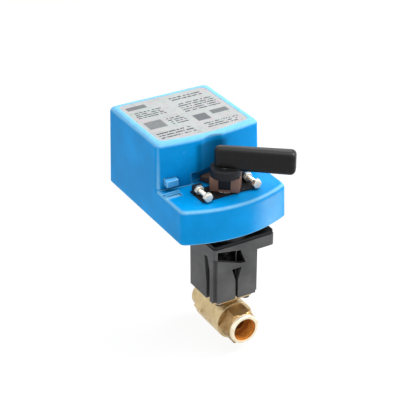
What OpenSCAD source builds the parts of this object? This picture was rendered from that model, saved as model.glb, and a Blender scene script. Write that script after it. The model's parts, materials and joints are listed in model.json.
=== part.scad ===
// Electrically driven two-way ball valve, half inch, with its rotary drive and mounting bracket.
// The origin is the centre of the inlet port's face, on the pipe axis. The pipe runs along +Y,
// the stem stands along +Z, and the drive's housing reaches back over the outlet.

/* [Valve] */
// Length between the faces of the two pipe ports
face_to_face = 66; // [64:1:80]
// Width across the flats of the end connector
hex_flats = 27; // [26:0.5:29]
// Width across the flats of the hexagon on the body
body_hex_flats = 32; // [30:0.5:34]
// Outside diameter of the round nose at each port
nose_d = 26; // [25:0.2:28]
// Bore of the pipe threads, at their crests
thread_bore_d = 18.6; // [16:0.1:20]
// Depth of the pipe threads
thread_depth = 11; // [7:0.5:12]
// Outside diameter of the barrel round the ball
barrel_d = 33.6; // [32:0.2:36]
// Diameter of the ball
ball_d = 22; // [20:0.5:23]
// Diameter of the waterway through the ball
flow_d = 12; // [9:0.5:13]
// Diameter of the stem
stem_d = 8; // [7:0.25:9]
// Height of the mounting pad's top face above the pipe axis
pad_top = 24.6; // [24:0.2:28]
// Width of the square mounting pad
pad_w = 34; // [32:0.5:36]
// Thickness of the mounting pad
pad_t = 4; // [3:0.5:5]

/* [Bracket] */
// Width of the column across the pipe
column_w = 42.5; // [40:0.5:44]
// Depth of the column along the pipe
column_d = 42.5; // [40:0.5:44]
// Height of the column from the mounting pad to its flange
column_h = 41.6; // [41:0.2:50]
// Wall of the column
column_wall = 4; // [3:0.5:5]
// Side of the notch down each corner of the column
notch_w = 3; // [2:0.25:3.5]
// Thickness of the flange at the column's head
flange_t = 10; // [9:0.5:13]
// Thickness of the adapter plate on the flange
adapter_t = 3; // [2.5:0.5:5]
// Height of the adapter's collar between its plate and the housing
collar_h = 7.8; // [6:0.2:9]

/* [Housing] */
// Width of the housing
housing_w = 98; // [96:1:110]
// Distance from the stem axis to the rear wall
housing_rear = 114; // [112:1:130]
// Distance from the stem axis to the front corners
front_reach = 15; // [14:0.5:20]
// How far the curved front stands out between its corners
front_bulge = 11.5; // [9:0.5:14]
// Height of the front deck above the underside
deck_h = 29.6; // [29:0.2:36]
// Height of the tall part above the underside
housing_h = 69.7; // [66:0.5:90]
// Distance from the stem axis to the middle of the tall part's front wall
wall_reach = 20; // [19:0.5:22]
// How far the tall part's front wall stands out between its corners
wall_bulge = 5; // [3:0.5:6]
// Wall of the cover
cover_wall = 2.5; // [2:0.25:3]
// How much each side leans in from the underside to the top
draft = 1.5; // [0.5:0.25:2.5]
// Radius of the round along the top edges
edge_r = 3; // [1:0.5:4]
// Thickness of the base plate
base_t = 3.5; // [3:0.25:4]

/* [Lever and coupler] */
// Turn of the lever from the closed position, as drawn
lever_turn = 39; // [5:1:85]
// Length of the handle in front of the stem axis
lever_len = 56; // [40:1:75]
// Length of the handle behind the stem axis
lever_back = 9; // [6:0.5:12]
// Height of the handle
lever_h = 20; // [14:1:20]
// Thickness of the handle at the stem axis
lever_t = 10; // [8:0.5:11]
// Thickness of the handle at its free end
lever_end_t = 13; // [11:0.5:15]
// Diameter of the lever's round hub
lever_hub_d = 24.8; // [20:0.2:28]
// Height of the lever's hub
lever_hub_h = 5.4; // [4:0.2:7]
// Width of the coupler
coupler_w = 24; // [20:0.5:26]
// Height of the coupler
coupler_h = 12.6; // [11:0.2:13]
// Diameter of the drive shaft
shaft_d = 10; // [8:0.5:11]

/* [Gear train] */
// Teeth of the output gear, as if it were a whole wheel
output_teeth = 66; // [60:1:72]
// Teeth of each small gear
pinion_teeth = 12; // [12:1:14]
// Teeth of the large gears on the second and third arbors
wheel_teeth = 36; // [32:1:38]
// Teeth of the large gear on the first arbor
first_wheel_teeth = 40; // [36:1:42]
// Width of the output gear's teeth
output_face = 5; // [4:0.5:5.5]

/* [Hidden] */
$fn = 64;
hull_fn = 24;

// Clearances
// Radial gap where a shaft turns in its hole
running_gap = 0.05;
// Radial gap where pieces of one body slip together
slip_gap = 0.02;
// Gap round a screw in its through hole
screw_gap = 0.2;
// Gap between faces that only stand beside each other
face_gap = 0.3;
// How far each cut runs past the face that it starts from
overrun = 1;
// Thickness of the slices that a rounded block is drawn over
slice = 0.01;

// Valve
half_length = face_to_face / 2;
port_r = thread_bore_d / 2;
flow_r = flow_d / 2;
ball_r = ball_d / 2;
seat_gap = 0.15;
seat_t = 4.3;
seat_reach = 12.5;
cavity_r = ball_r + 1;
joint_reach = 16.5;
connector_hex_len = 13.5;
body_hex_len = 10.5;
rear_nose_len = 13;
neck_r = 12;
nose_r = 9;
nose_h = 8.4;
seal_r = 0.9;
chamber_top = 14.6;
chamber_r = 6;
stem_flange_r = 5.5;
stem_flange_bottom = 11.7;
stem_flange_t = 1.8;
tongue_w = 4;
tongue_len = 8;
tongue_bottom = 7.4;
washer_t = 1;
packing_bottom = 26.5;
packing_r = 6.5;
packing_t = 4.4;
packing_nut_flats = 16;
packing_nut_h = 5;
stem_square = 5.6;
stem_square_h = 7;
stem_top = 48;
nose_top = pad_top + nose_h;

// Bracket
flange_bottom = pad_top + column_h;
flange_top = flange_bottom + flange_t;
adapter_top = flange_top + adapter_t;
underside = adapter_top + collar_h;
column_x = -1;
column_y = 0.5;
column_front = column_d / 2 - column_y;
column_left = column_w / 2 - column_x;
foot_t = 4;
pad_screw_at = 12.5;
pad_corner_r = 3;
small_screw_r = 2;
small_head_r = 3.5;
small_head_h = 2.6;
screw_grip = 7;
flange_right = 35;
flange_rear = 33;
flange_corner_r = 3;
flange_screws_at = [[28, -8], [27, 27], [-13, 27]];
flange_boss_r = 5;
flange_screw_grip = 6;
collar_r = 20;
adapter_inset = 0.5;
hollow_rise = 6.5;
window_left_bottom = 65.4;
window_left_top = 74;
window_right = 3.6;
window_right_top = 70.3;
window_corner = 8.6;
window_corner_z = 57.3;
wedge_top = 54;
wedge_neck = 42;
wedge_top_half = 4.6;
wedge_neck_half = 1.2;
slot_rear = 4.8;
slot_top = 65;
slot_neck_rear = 8.1;
slot_neck = 42;
slot_front = 9.7;
slot_wide_front = 13.5;
slot_wide = 54;
coupling_r = 9;
coupling_bottom = 40;
coupling_top = 59;
shaft_square = 7;
shaft_r = shaft_d / 2;

// Housing
deck_top = underside + deck_h;
housing_top = underside + housing_h;
base_top = underside + base_t;
corner_r = 5;
front_turn = 65;
plan_steps = 16;
corner_steps = 4;
alcove_r = 23.5;
undercut_r = 29;
undercut_h = 10;
sleeve_r = 7.3;
bush_r = 9.3;
bush_flange_r = 10.8;
bush_flange_t = 1;
cover_screw_side = 7;
cover_screw_rear = 7;
cover_screw_front = 23;
cover_screws_at = [for (x = [-1, 1], y = [cover_screw_front - front_reach, housing_rear - cover_screw_rear])
    [x * (housing_w / 2 - cover_screw_side), y]];
cover_boss_r = 4.6;
cover_boss_h = 16;
cover_screw_r = 1.5;
cover_head_r = 3;
cover_head_h = 2;
cover_screw_grip = 12;
label_t = 0.5;
label_recess = 0.6;
label_margin = 6;
rail_w = 6;
rail_len = 8;
rail_h = 6;
rail_groove = 3;
rails_at = [44, 92];

// Release button, ridge and slot beside the coupler
button_side = 11.5;
button_x = button_side - housing_w / 2;
button_w = 10;
button_h = 5.4;
button_bottom = 4.2;
button_stand = 4;
button_len = 14;
button_flange = 1;
button_flange_t = 1.5;
button_flange_gap = 3.2;
button_travel = 3;
spring_r = 2.2;
spring_wire = 0.5;
spring_len = 8;
spring_seat_depth = 0.8;
post_t = 5.5;
slot_side = 8.5;
slot_x = slot_side - housing_w / 2;
slot_len = 13;
slot_w = 5;
slot_y = 12;
slot_depth = 1.2;
ridge_len = 15;
ridge_w = 1.5;
ridge_h = 0.8;
ridge_y = 16.5;

// Coupler and stops
bracket_t = 1;
bracket_half = 26.5;
bracket_front = 9.5;
bracket_rear = 11;
bracket_hole_r = 8;
stop_at = 22.6;
stop_lug_w = 8;
stop_lug_front = 4.5;
stop_lug_rear = 8;
stop_lug_h = 8;
stop_z = 4.8;
stop_screw_r = 2;
stop_tip = 9.3;
stop_head_at = 9.5;
stop_head_t = 3.5;
stop_flats = 7;
stop_nut_t = 3.5;
tab_r = 24.5;
tab_half_turn = 20;
tab_t = 4;
coupler_front = 6;
coupler_back = 11;
coupler_round_r = 14.5;
coupler_bottom = deck_top + bracket_t + face_gap;
coupler_top = coupler_bottom + coupler_h;
insert_w = 10;
insert_h = 9;
insert_depth = 0.8;
clamp_screw_r = 2.5;
clamp_head_r = 4;
clamp_head_t = 3;
socket_r = 1.7;
socket_depth = 2;
lever_bottom = coupler_top + lever_hub_h;
lever_bore_h = 11;
lever_round = 2.5;
lever_crown_share = 0.8;
set_screw_r = 1.5;
shaft_bottom = 51.5;
shaft_top = coupler_top + lever_bore_h - face_gap;

// Gear train: each small gear drives the large gear on the arbor nearer to the output
output_module = 1;
third_module = 0.8;
second_module = 0.6;
first_module = 0.5;
motor_teeth = 12;
tooth_addendum_share = 0.7;
tooth_dedendum_share = 1.05;
tooth_thin_share = 0.86;
output_level = 8;
sector_spare = 20;
half_swing = 45;
output_hub_r = 11;
output_hub_h = 8;
third_turn = 90;
second_turn = 60;
first_turn = 120;
motor_turn = 150;
arbor_r = 1.5;
arbor_shoulder_r = 2.4;
small_face = 4;
large_face = 2.4;
gear_step = 3.9;
gear_side_gap = 0.5;
plate_t = 1.5;
plate_level = 25.6;
plate_half = 26;
plate_front = 32;
plate_rear = 92;
post_r = 3;
posts_x = 21;
posts_y = [37, 87];
motor_r = 13;
motor_h = 28;
motor_shaft_r = 1;
motor_screw_at = 9;
motor_screw_r = 1.2;
motor_head_r = 2.2;

// Circuit board and gland
board_side = 11;
board_x = housing_w / 2 - board_side;
board_t = 1.6;
board_y = [34, 100];
board_top_gap = 6.7;
terminal = [12, 26, 12];
terminal_y = 74;
terminal_z = 34;
capacitor_r = 6;
capacitor_len = 13;
capacitors_y = [46, 62];
capacitor_z = 38;
gland_side = 25;
gland_x = gland_side - housing_w / 2;
gland_z = 18;
gland_r = 9.8;
gland_flats = 26;
gland_flange_t = 5;
gland_nut_r = 11.5;
gland_nut_len = 15;
gland_cable_r = 3.6;
gland_seal_r = 7;
locknut_flats = 24;
locknut_t = 3.5;

// Pitch radii and arbor places of the gear train
function pitch_r(teeth, size) = teeth * size / 2;
output_r = pitch_r(output_teeth, output_module);
third_at = (output_r + pitch_r(pinion_teeth, output_module)) * [cos(third_turn), sin(third_turn)];
second_at = third_at + (pitch_r(wheel_teeth, third_module) + pitch_r(pinion_teeth, third_module))
    * [cos(second_turn), sin(second_turn)];
first_at = second_at + (pitch_r(wheel_teeth, second_module) + pitch_r(pinion_teeth, second_module))
    * [cos(first_turn), sin(first_turn)];
motor_at = first_at + (pitch_r(first_wheel_teeth, first_module) + pitch_r(motor_teeth, first_module))
    * [cos(motor_turn), sin(motor_turn)];

// Rest angle of a gear that meshes, in direction toward, with one that has a tooth at angle
function mesh_turn(angle, teeth, toward, mesh_teeth) =
    toward + 180 - 360 / mesh_teeth * (0.5 - (toward - angle) / (360 / teeth));
output_angle = third_turn + half_swing - lever_turn;
third_angle = mesh_turn(output_angle, output_teeth, third_turn, pinion_teeth);
second_angle = mesh_turn(third_angle, wheel_teeth, second_turn, pinion_teeth);
first_angle = mesh_turn(second_angle, wheel_teeth, first_turn, pinion_teeth);
motor_angle = mesh_turn(first_angle, first_wheel_teeth, motor_turn, motor_teeth);

// Heights of the gear levels above the base plate's top
output_bottom = underside + output_level;
third_wheel_bottom = output_bottom + output_face + face_gap + small_face - large_face - face_gap;
second_wheel_bottom = third_wheel_bottom + gear_step;
first_wheel_bottom = second_wheel_bottom + gear_step;
plate_bottom = underside + plate_level;
board_bottom = base_top + rail_h - rail_groove;
motor_screw_step = motor_screw_at * [-sin(motor_turn), cos(motor_turn)];

// Height of the release button's underside, and where its spring is seated
button_z = deck_top + button_bottom;
button_wall_y = front_line(button_x, housing_w / 2, wall_reach + wall_bulge, wall_bulge);
button_front_y = button_wall_y - button_stand;
spring_seat_y = button_front_y + button_len + spring_len;

// Moves the stem's frame, in which every piece is drawn, behind the inlet face
module at_stem() translate([0, half_length, 0]) children();

// Turns what has its waterway along the pipe when open to the drawn position
module at_ball() rotate([0, 0, 90 - lever_turn]) children();

// Turns the lever's frame, with the handle along +X when closed, to the drawn position
module at_lever() rotate([0, 0, -lever_turn]) children();

// Ring or washer standing on z = 0
module ring(outer, inner, h) difference() {
    cylinder(r = outer, h = h);
    translate([0, 0, -overrun]) cylinder(r = inner, h = h + 2 * overrun);
}

// Hexagon bar on z = 0, measured across its flats
module hexagon(flats, h) cylinder(d = flats / cos(30), h = h, $fn = 6);

// Cylinder along +Y from y = from to y = to
module along_y(r, from, to) translate([0, from, 0]) rotate([-90, 0, 0]) cylinder(r = r, h = to - from);

// Hexagon bar along +Y with flats at top and bottom
module hexagon_y(flats, from, to) translate([0, from, 0]) rotate([-90, 0, 0]) hexagon(flats, to - from);

// Rectangle with round corners, centred
module rounded_rect(w, d, r) {
    square([w - 2 * r, d], center = true);
    square([w, d - 2 * r], center = true);
    for (x = [-1, 1], y = [-1, 1]) translate([x * (w / 2 - r), y * (d / 2 - r)]) circle(r);
}

// Points of an arc about a centre
function arc(centre, r, from, to, steps) =
    [for (i = [0 : steps]) centre + r * [cos(from + (to - from) * i / steps), sin(from + (to - from)
        * i / steps)]];

// Height of the curved front line at x, for a front that reaches reach and stands out bulge
function front_line(x, half, corner_y, bulge) = corner_y - bulge * (1 - x * x / (half * half));

// Plan of the housing: curved front, round corners, straight sides and rear
function plan_points(corner_y, bulge, inset) =
    let (half = housing_w / 2 - inset, rear = housing_rear - inset, front_y = corner_y + inset,
        start = half - corner_r * (1 - cos(front_turn)),
        start_y = front_line(start, half, front_y, bulge) + corner_r * sin(front_turn))
    concat(
        arc([-half + corner_r, start_y], corner_r, 180, 180 + front_turn, corner_steps),
        [for (i = [1 : plan_steps - 1]) let (x = start * (2 * i / plan_steps - 1)) [x, front_line(x, half,
            front_y, bulge)]],
        arc([half - corner_r, start_y], corner_r, -front_turn, 0, corner_steps),
        arc([half - corner_r, rear - corner_r], corner_r, 0, 90, corner_steps),
        arc([-half + corner_r, rear - corner_r], corner_r, 90, 180, corner_steps));

// Block over the plan with leaning sides and a round top edge
module rounded_block(corner_y, bulge, from, top, inset, round_r) {
    lean = draft * (top - underside) / housing_h;
    levels = [[from, 0], [top - round_r, lean], [top - round_r / 3, lean + round_r / 3], [top,
        lean + round_r]];
    hull() for (level = levels) translate([0, 0, level[0] - slice]) linear_extrude(slice)
        polygon(plan_points(corner_y, bulge, inset + level[1]));
}

module deck_block(inset, from, top, round_r)
    rounded_block(-front_reach, front_bulge, from, top, inset, round_r);

module tall_block(inset, from, top, round_r)
    rounded_block(wall_reach + wall_bulge, wall_bulge, from, top, inset, round_r);

// Involute flank point at radius r for a gear of base radius base
function involute_turn(r, base) = let (t = sqrt(max(0, r * r / (base * base) - 1))) t * 180 / PI - atan(t);

// Outline of one tooth from root to tip and back, centred on angle
function tooth_points(teeth, size, angle) =
    let (pitch = pitch_r(teeth, size), base = pitch * cos(20), root = pitch - tooth_dedendum_share * size,
        tip = pitch + tooth_addendum_share * size,
        half = 90 / teeth * tooth_thin_share + involute_turn(pitch, base),
        low = max(root, base), radii = [low, (2 * low + tip) / 3, (low + 2 * tip) / 3, tip])
    concat(
        root < base ? [root * [cos(angle - half), sin(angle - half)]] : [],
        [for (r = radii) let (a = angle - half + involute_turn(r, base)) r * [cos(a), sin(a)]],
        [for (i = [3 : -1 : 0]) let (r = radii[i], a = angle + half - involute_turn(r, base)) r * [cos(a),
            sin(a)]],
        root < base ? [root * [cos(angle + half), sin(angle + half)]] : []);

// Toothed wheel on z = 0 with one tooth at angle
module gear(teeth, size, h, angle) linear_extrude(h)
    polygon([for (i = [0 : teeth - 1]) each tooth_points(teeth, size, angle + 360 * i / teeth)]);

// A large gear and a small gear on one arbor
module gear_pair(wheel, wheel_size, wheel_bottom, small, small_size, small_bottom, small_h, wheel_angle,
    small_angle, top)
difference() {
    union() {
        translate([0, 0, wheel_bottom]) gear(wheel, wheel_size, large_face, wheel_angle);
        translate([0, 0, small_bottom]) gear(small, small_size, small_h, small_angle);
        translate([0, 0, small_bottom])
            cylinder(r = pitch_r(small, small_size) - tooth_dedendum_share * small_size,
                h = top - small_bottom);
    }
    translate([0, 0, small_bottom - overrun]) cylinder(r = arbor_r + running_gap,
        h = top - small_bottom + 2 * overrun);
}

module valve_body() at_stem() color("goldenrod") difference() {
    union() {
        along_y(barrel_d / 2, -joint_reach, half_length - rear_nose_len - slice);
        hexagon_y(body_hex_flats, half_length - rear_nose_len - body_hex_len, half_length - rear_nose_len);
        along_y(nose_d / 2, 0, half_length);
        cylinder(r = neck_r, h = pad_top - pad_t / 2);
        translate([0, 0, pad_top - pad_t]) linear_extrude(pad_t) rounded_rect(pad_w, pad_w, pad_corner_r);
        cylinder(r = nose_r, h = nose_top);
    }
    along_y(cavity_r, -joint_reach - overrun, seat_reach);
    along_y(flow_r, 0, half_length);
    along_y(port_r, half_length - thread_depth, half_length + overrun);
    cylinder(r = chamber_r, h = chamber_top);
    cylinder(r = stem_d / 2 + running_gap, h = nose_top + overrun);
    translate([0, 0, packing_bottom]) cylinder(r = packing_r, h = nose_top);
    for (x = [-1, 1], y = [-1, 1]) translate([x * pad_screw_at, y * pad_screw_at,
        pad_top - pad_t - overrun])
        cylinder(r = small_screw_r + screw_gap, h = pad_t + 2 * overrun);
}

module end_connector() at_stem() color("goldenrod") difference() {
    union() {
        along_y(nose_d / 2, -half_length, -joint_reach);
        hexagon_y(hex_flats, -joint_reach - connector_hex_len, -joint_reach);
        along_y(cavity_r - slip_gap, -joint_reach - slice, -seat_reach);
    }
    along_y(flow_r, -half_length - overrun, 0);
    along_y(port_r, -half_length - overrun, thread_depth - half_length);
    translate([0, -joint_reach + 2 * seal_r, 0]) rotate([90, 0, 0])
        ring(cavity_r + overrun, cavity_r - 2 * seal_r, 2 * seal_r);
}

module connector_seal() at_stem() color("black") translate([0, -joint_reach + seal_r, 0]) rotate([90, 0, 0])
    rotate_extrude() translate([cavity_r - seal_r - slip_gap, 0]) circle(r = seal_r - slip_gap, $fn = 16);

// Ball with its waterway at the drawn turn and the stem's slot across its top
module ball() at_stem() color("silver") at_ball() difference() {
    sphere(r = ball_r);
    along_y(flow_r, -ball_r - overrun, ball_r + overrun);
    translate([-ball_r - overrun, -tongue_w / 2 - slip_gap, tongue_bottom - face_gap])
        cube([2 * (ball_r + overrun), tongue_w + 2 * slip_gap, ball_r]);
}

module ball_seats() at_stem() color("white") for (side = [-1, 1]) difference() {
    translate([0, side * (seat_reach - seat_t / 2), 0]) along_y(cavity_r - slip_gap, -seat_t / 2,
        seat_t / 2);
    along_y(flow_r, -face_to_face, face_to_face);
    sphere(r = ball_r + seat_gap);
}

module stem() at_stem() color("silver") at_ball() {
    translate([-tongue_len / 2, -tongue_w / 2, tongue_bottom])
        cube([tongue_len, tongue_w, stem_flange_bottom - tongue_bottom + slice]);
    translate([0, 0, stem_flange_bottom]) cylinder(r = stem_flange_r, h = stem_flange_t);
    translate([0, 0, stem_flange_bottom]) cylinder(d = stem_d,
        h = stem_top - stem_square_h - stem_flange_bottom);
    translate([-stem_square / 2, -stem_square / 2, stem_top - stem_square_h - slice])
        cube([stem_square, stem_square, stem_square_h + slice]);
}

module thrust_washer() at_stem() color("white")
    translate([0, 0, stem_flange_bottom + stem_flange_t + running_gap])
        ring(chamber_r - slip_gap, stem_d / 2 + running_gap, washer_t);

module stem_packing() at_stem() color("white") translate([0, 0, packing_bottom + slip_gap])
    ring(packing_r - slip_gap, stem_d / 2 + running_gap, packing_t - 2 * slip_gap);

module packing_nut() at_stem() color("goldenrod") difference() {
    union() {
        translate([0, 0, nose_top]) hexagon(packing_nut_flats, packing_nut_h);
        translate([0, 0, packing_bottom + packing_t]) cylinder(r = packing_r - slip_gap,
            h = nose_top - packing_bottom - packing_t + slice);
    }
    cylinder(r = stem_d / 2 + running_gap, h = nose_top + packing_nut_h + overrun);
}

// Outline of the flange: flush with the column at its front and left, out to the right and the rear for its screws
module flange_outline(inset) translate([(flange_right - column_left) / 2, (flange_rear - column_front) / 2])
    rounded_rect(flange_right + column_left - 2 * inset, flange_rear + column_front - 2 * inset,
        flange_corner_r);

module column_bracket() at_stem() color([0.22, 0.22, 0.23]) difference() {
    union() {
        translate([-column_left, -column_front, pad_top]) cube([column_w, column_d, column_h + slice]);
        translate([0, 0, flange_bottom]) linear_extrude(flange_t) flange_outline(0);
    }
    translate([column_wall - column_left, column_wall - column_front, pad_top + foot_t])
        cube([column_w - 2 * column_wall, column_d - 2 * column_wall, column_h + hollow_rise - foot_t]);
    cylinder(r = nose_r + face_gap, h = pad_top + foot_t + overrun);
    cylinder(r = shaft_r + face_gap, h = flange_top + overrun);
    translate([column_x, column_y, 0]) {
        for (x = [-1, 1], y = [-1, 1]) translate([x * column_w / 2, y * column_d / 2,
            pad_top + column_h / 2 - overrun / 2])
            cube([2 * notch_w, 2 * notch_w, column_h + overrun], center = true);
        for (turn = [0, 180]) rotate([0, 0, turn]) {
            translate([0, -column_d / 2 + column_wall + overrun, 0]) rotate([90, 0, 0])
                linear_extrude(column_wall + 2 * overrun) {
                    polygon([[notch_w - column_w / 2, window_left_bottom], [window_right, window_corner_z],
                        [window_corner, window_corner_z], [window_right, window_right_top],
                        [notch_w - column_w / 2, window_left_top]]);
                    polygon([[-wedge_top_half, wedge_top], [wedge_top_half, wedge_top], [wedge_neck_half,
                        wedge_neck],
                        [wedge_neck_half, pad_top - overrun], [-wedge_neck_half, pad_top - overrun],
                        [-wedge_neck_half, wedge_neck]]);
                }
            translate([-column_w / 2 + column_wall + overrun, 0, 0]) rotate([90, 0, -90])
                linear_extrude(column_wall + 2 * overrun) polygon([[slot_rear, slot_top], [slot_front,
                    slot_top + overrun],
                    [slot_wide_front, slot_wide], [slot_wide_front, pad_top - overrun],
                    [slot_neck_rear, pad_top - overrun], [slot_neck_rear, slot_neck]]);
        }
    }
    for (x = [-1, 1], y = [-1, 1]) translate([x * pad_screw_at, y * pad_screw_at, pad_top - overrun])
        cylinder(r = small_screw_r + slip_gap, h = foot_t + 2 * overrun);
    for (at = flange_screws_at) translate([at[0], at[1], flange_bottom - overrun])
        cylinder(r = small_screw_r + screw_gap, h = flange_t + 2 * overrun);
}

// Screw standing on its head, with the head's underside at z = 0
module screw(r, h, head_r, head_h) difference() {
    union() {
        cylinder(r = r, h = h);
        translate([0, 0, -head_h]) cylinder(r = head_r, h = head_h);
    }
    translate([0, 0, -head_h - overrun]) cylinder(r = head_r / 2, h = head_h / 2 + overrun, $fn = 6);
}

module pad_screws() at_stem() color("silver") for (x = [-1, 1], y = [-1, 1])
    translate([x * pad_screw_at, y * pad_screw_at, pad_top - pad_t])
        screw(small_screw_r, screw_grip, small_head_r, small_head_h);

module adapter_plate() at_stem() color([0.1, 0.1, 0.11]) difference() {
    union() {
        translate([0, 0, flange_top]) linear_extrude(adapter_t) flange_outline(adapter_inset);
        translate([0, 0, flange_top]) cylinder(r = collar_r, h = adapter_t + collar_h);
    }
    cylinder(r = shaft_r + face_gap, h = underside + overrun);
    for (at = flange_screws_at) translate([at[0], at[1], flange_top - overrun])
        cylinder(r = small_screw_r + screw_gap, h = adapter_t + 2 * overrun);
}

module flange_screws() at_stem() color("silver") for (at = flange_screws_at) translate([at[0], at[1],
    flange_bottom])
    screw(small_screw_r, flange_t + adapter_t + collar_h + flange_screw_grip, small_head_r, small_head_h);

module stem_coupling() at_stem() color([0.12, 0.12, 0.13]) at_ball() difference() {
    translate([0, 0, coupling_bottom]) cylinder(r = coupling_r, h = coupling_top - coupling_bottom);
    translate([0, 0, (stem_top + coupling_bottom) / 2])
        cube([stem_square + 2 * slip_gap, stem_square + 2 * slip_gap,
            stem_top - coupling_bottom + overrun], center = true);
    translate([0, 0, coupling_bottom - overrun])
        cylinder(r = stem_d / 2 + slip_gap,
            h = stem_top - stem_square_h - coupling_bottom + overrun + slip_gap);
    translate([0, 0, (coupling_top + shaft_bottom) / 2 + overrun / 2])
        cube([shaft_square + 2 * slip_gap, shaft_square + 2 * slip_gap,
            coupling_top - shaft_bottom + overrun], center = true);
}

module drive_shaft() at_stem() color("dimgray") at_ball() {
    translate([0, 0, coupling_top]) cylinder(d = shaft_d, h = shaft_top - coupling_top);
    translate([-shaft_square / 2, -shaft_square / 2, shaft_bottom])
        cube([shaft_square, shaft_square, coupling_top - shaft_bottom + slice]);
}

module base_plate() at_stem() color([0.1, 0.35, 0.6]) difference() {
    union() {
        translate([0, 0, underside]) linear_extrude(base_t)
            polygon(plan_points(-front_reach, front_bulge, cover_wall + face_gap));
        for (at = flange_screws_at) translate([at[0], at[1], adapter_top])
            cylinder(r = flange_boss_r, h = base_top - adapter_top + base_t);
        for (y = rails_at) translate([board_x + board_t / 2 - rail_w / 2, y - rail_len / 2,
            base_top - slice])
            cube([rail_w, rail_len, rail_h]);
        translate([button_x - button_w / 2, spring_seat_y, base_top - slice])
            cube([button_w, post_t, button_z + button_h - base_top]);
    }
    translate([0, 0, underside - overrun]) cylinder(r = bush_r + slip_gap, h = base_t + 2 * overrun);
    translate([button_x, spring_seat_y - overrun, button_z + button_h / 2]) rotate([-90, 0, 0])
        cylinder(r = spring_r + running_gap, h = spring_seat_depth + button_travel + face_gap + overrun);
    for (at = flange_screws_at) translate([at[0], at[1], adapter_top - overrun])
        cylinder(r = small_screw_r + slip_gap, h = collar_h + flange_screw_grip + overrun + face_gap);
    for (at = cover_screws_at) translate([at[0], at[1], underside - overrun]) {
        cylinder(r = cover_screw_r + screw_gap, h = base_t + 2 * overrun);
        cylinder(r = cover_head_r + screw_gap, h = cover_head_h + overrun);
    }
    translate([board_x - slip_gap, board_y[0], base_top + rail_h - rail_groove])
        cube([board_t + 2 * slip_gap, board_y[1] - board_y[0], rail_h]);
}

module lower_bush() at_stem() color("ivory") difference() {
    union() {
        translate([0, 0, underside]) cylinder(r = bush_r, h = base_t);
        translate([0, 0, base_top]) cylinder(r = bush_flange_r, h = bush_flange_t);
    }
    translate([0, 0, underside - overrun]) cylinder(r = sleeve_r + running_gap,
        h = base_t + bush_flange_t + 2 * overrun);
}

module upper_bush() at_stem() color("ivory") difference() {
    union() {
        translate([0, 0, deck_top - cover_wall]) cylinder(r = bush_r, h = cover_wall);
        translate([0, 0, deck_top - cover_wall - bush_flange_t]) cylinder(r = bush_flange_r,
            h = bush_flange_t);
    }
    translate([0, 0, deck_top - cover_wall - bush_flange_t - overrun])
        cylinder(r = sleeve_r + running_gap, h = cover_wall + bush_flange_t + 2 * overrun);
}

module output_sleeve() at_stem() color("silver") translate([0, 0, underside + face_gap])
    ring(sleeve_r, shaft_r + slip_gap, coupler_bottom - underside - face_gap);

// Output gear: a hub and the toothed sector that its quarter turn needs
module output_gear() at_stem() color("ivory") difference() {
    union() {
        translate([0, 0, output_bottom]) intersection() {
            gear(output_teeth, output_module, output_face, output_angle);
            sector_half = half_swing + sector_spare;
            reach = 2 * output_r;
            linear_extrude(output_face) rotate(output_angle) polygon([[0, 0],
                reach * [cos(-sector_half), sin(-sector_half)], [reach, -reach / 2], [reach, reach / 2],
                reach * [cos(sector_half), sin(sector_half)]]);
        }
        translate([0, 0, output_bottom - overrun]) cylinder(r = output_hub_r, h = output_hub_h);
    }
    translate([0, 0, underside]) cylinder(r = sleeve_r + slip_gap, h = deck_h);
}

module gear_posts() at_stem() color("silver") for (x = [-posts_x, posts_x], y = posts_y)
    translate([x, y, base_top]) cylinder(r = post_r, h = plate_bottom - base_top);

// Fixed pins that the gears turn on, each with a shoulder under its gear
module gear_arbors() at_stem() color("silver") for (pin = [[third_at, output_bottom - face_gap],
        [second_at, third_wheel_bottom - face_gap], [first_at, second_wheel_bottom - face_gap]])
    translate([pin[0][0], pin[0][1], base_top]) {
        cylinder(r = arbor_r, h = plate_bottom + plate_t - base_top);
        cylinder(r = arbor_shoulder_r, h = pin[1] - face_gap - base_top);
    }

module gear_plate() at_stem() color("lightgray") difference() {
    translate([0, (plate_front + plate_rear) / 2, plate_bottom]) linear_extrude(plate_t)
        rounded_rect(2 * plate_half, plate_rear - plate_front, corner_r);
    for (at = [third_at, second_at, first_at]) translate([at[0], at[1], plate_bottom - overrun])
        cylinder(r = arbor_r + slip_gap, h = plate_t + 2 * overrun);
    translate([motor_at[0], motor_at[1], plate_bottom - overrun]) {
        cylinder(r = motor_shaft_r + face_gap, h = plate_t + 2 * overrun);
        for (side = [-1, 1]) translate(side * motor_screw_step)
            cylinder(r = motor_screw_r + screw_gap, h = plate_t + 2 * overrun);
    }
}

module third_gear() at_stem() color("white") translate([third_at[0], third_at[1], 0])
    gear_pair(wheel_teeth, third_module, third_wheel_bottom, pinion_teeth, output_module,
        output_bottom - face_gap,
        output_face + 2 * face_gap, third_angle, third_angle,
            third_wheel_bottom + large_face + gear_side_gap);

module second_gear() at_stem() color("white") translate([second_at[0], second_at[1], 0])
    gear_pair(wheel_teeth, second_module, second_wheel_bottom, pinion_teeth, third_module,
        third_wheel_bottom - face_gap, large_face + 2 * face_gap, second_angle, second_angle,
        second_wheel_bottom + large_face + gear_side_gap);

module first_gear() at_stem() color("white") translate([first_at[0], first_at[1], 0])
    gear_pair(first_wheel_teeth, first_module, first_wheel_bottom, pinion_teeth, second_module,
        second_wheel_bottom - face_gap, large_face + 2 * face_gap, first_angle, first_angle,
        first_wheel_bottom + large_face + gear_side_gap);

module motor_rotor() at_stem() color("silver") translate([motor_at[0], motor_at[1], 0]) {
    translate([0, 0, first_wheel_bottom - face_gap]) gear(motor_teeth, first_module,
        large_face + 2 * face_gap, motor_angle);
    translate([0, 0, first_wheel_bottom - face_gap])
        cylinder(r = motor_shaft_r, h = plate_bottom + plate_t + motor_h + overrun - first_wheel_bottom);
}

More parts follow.
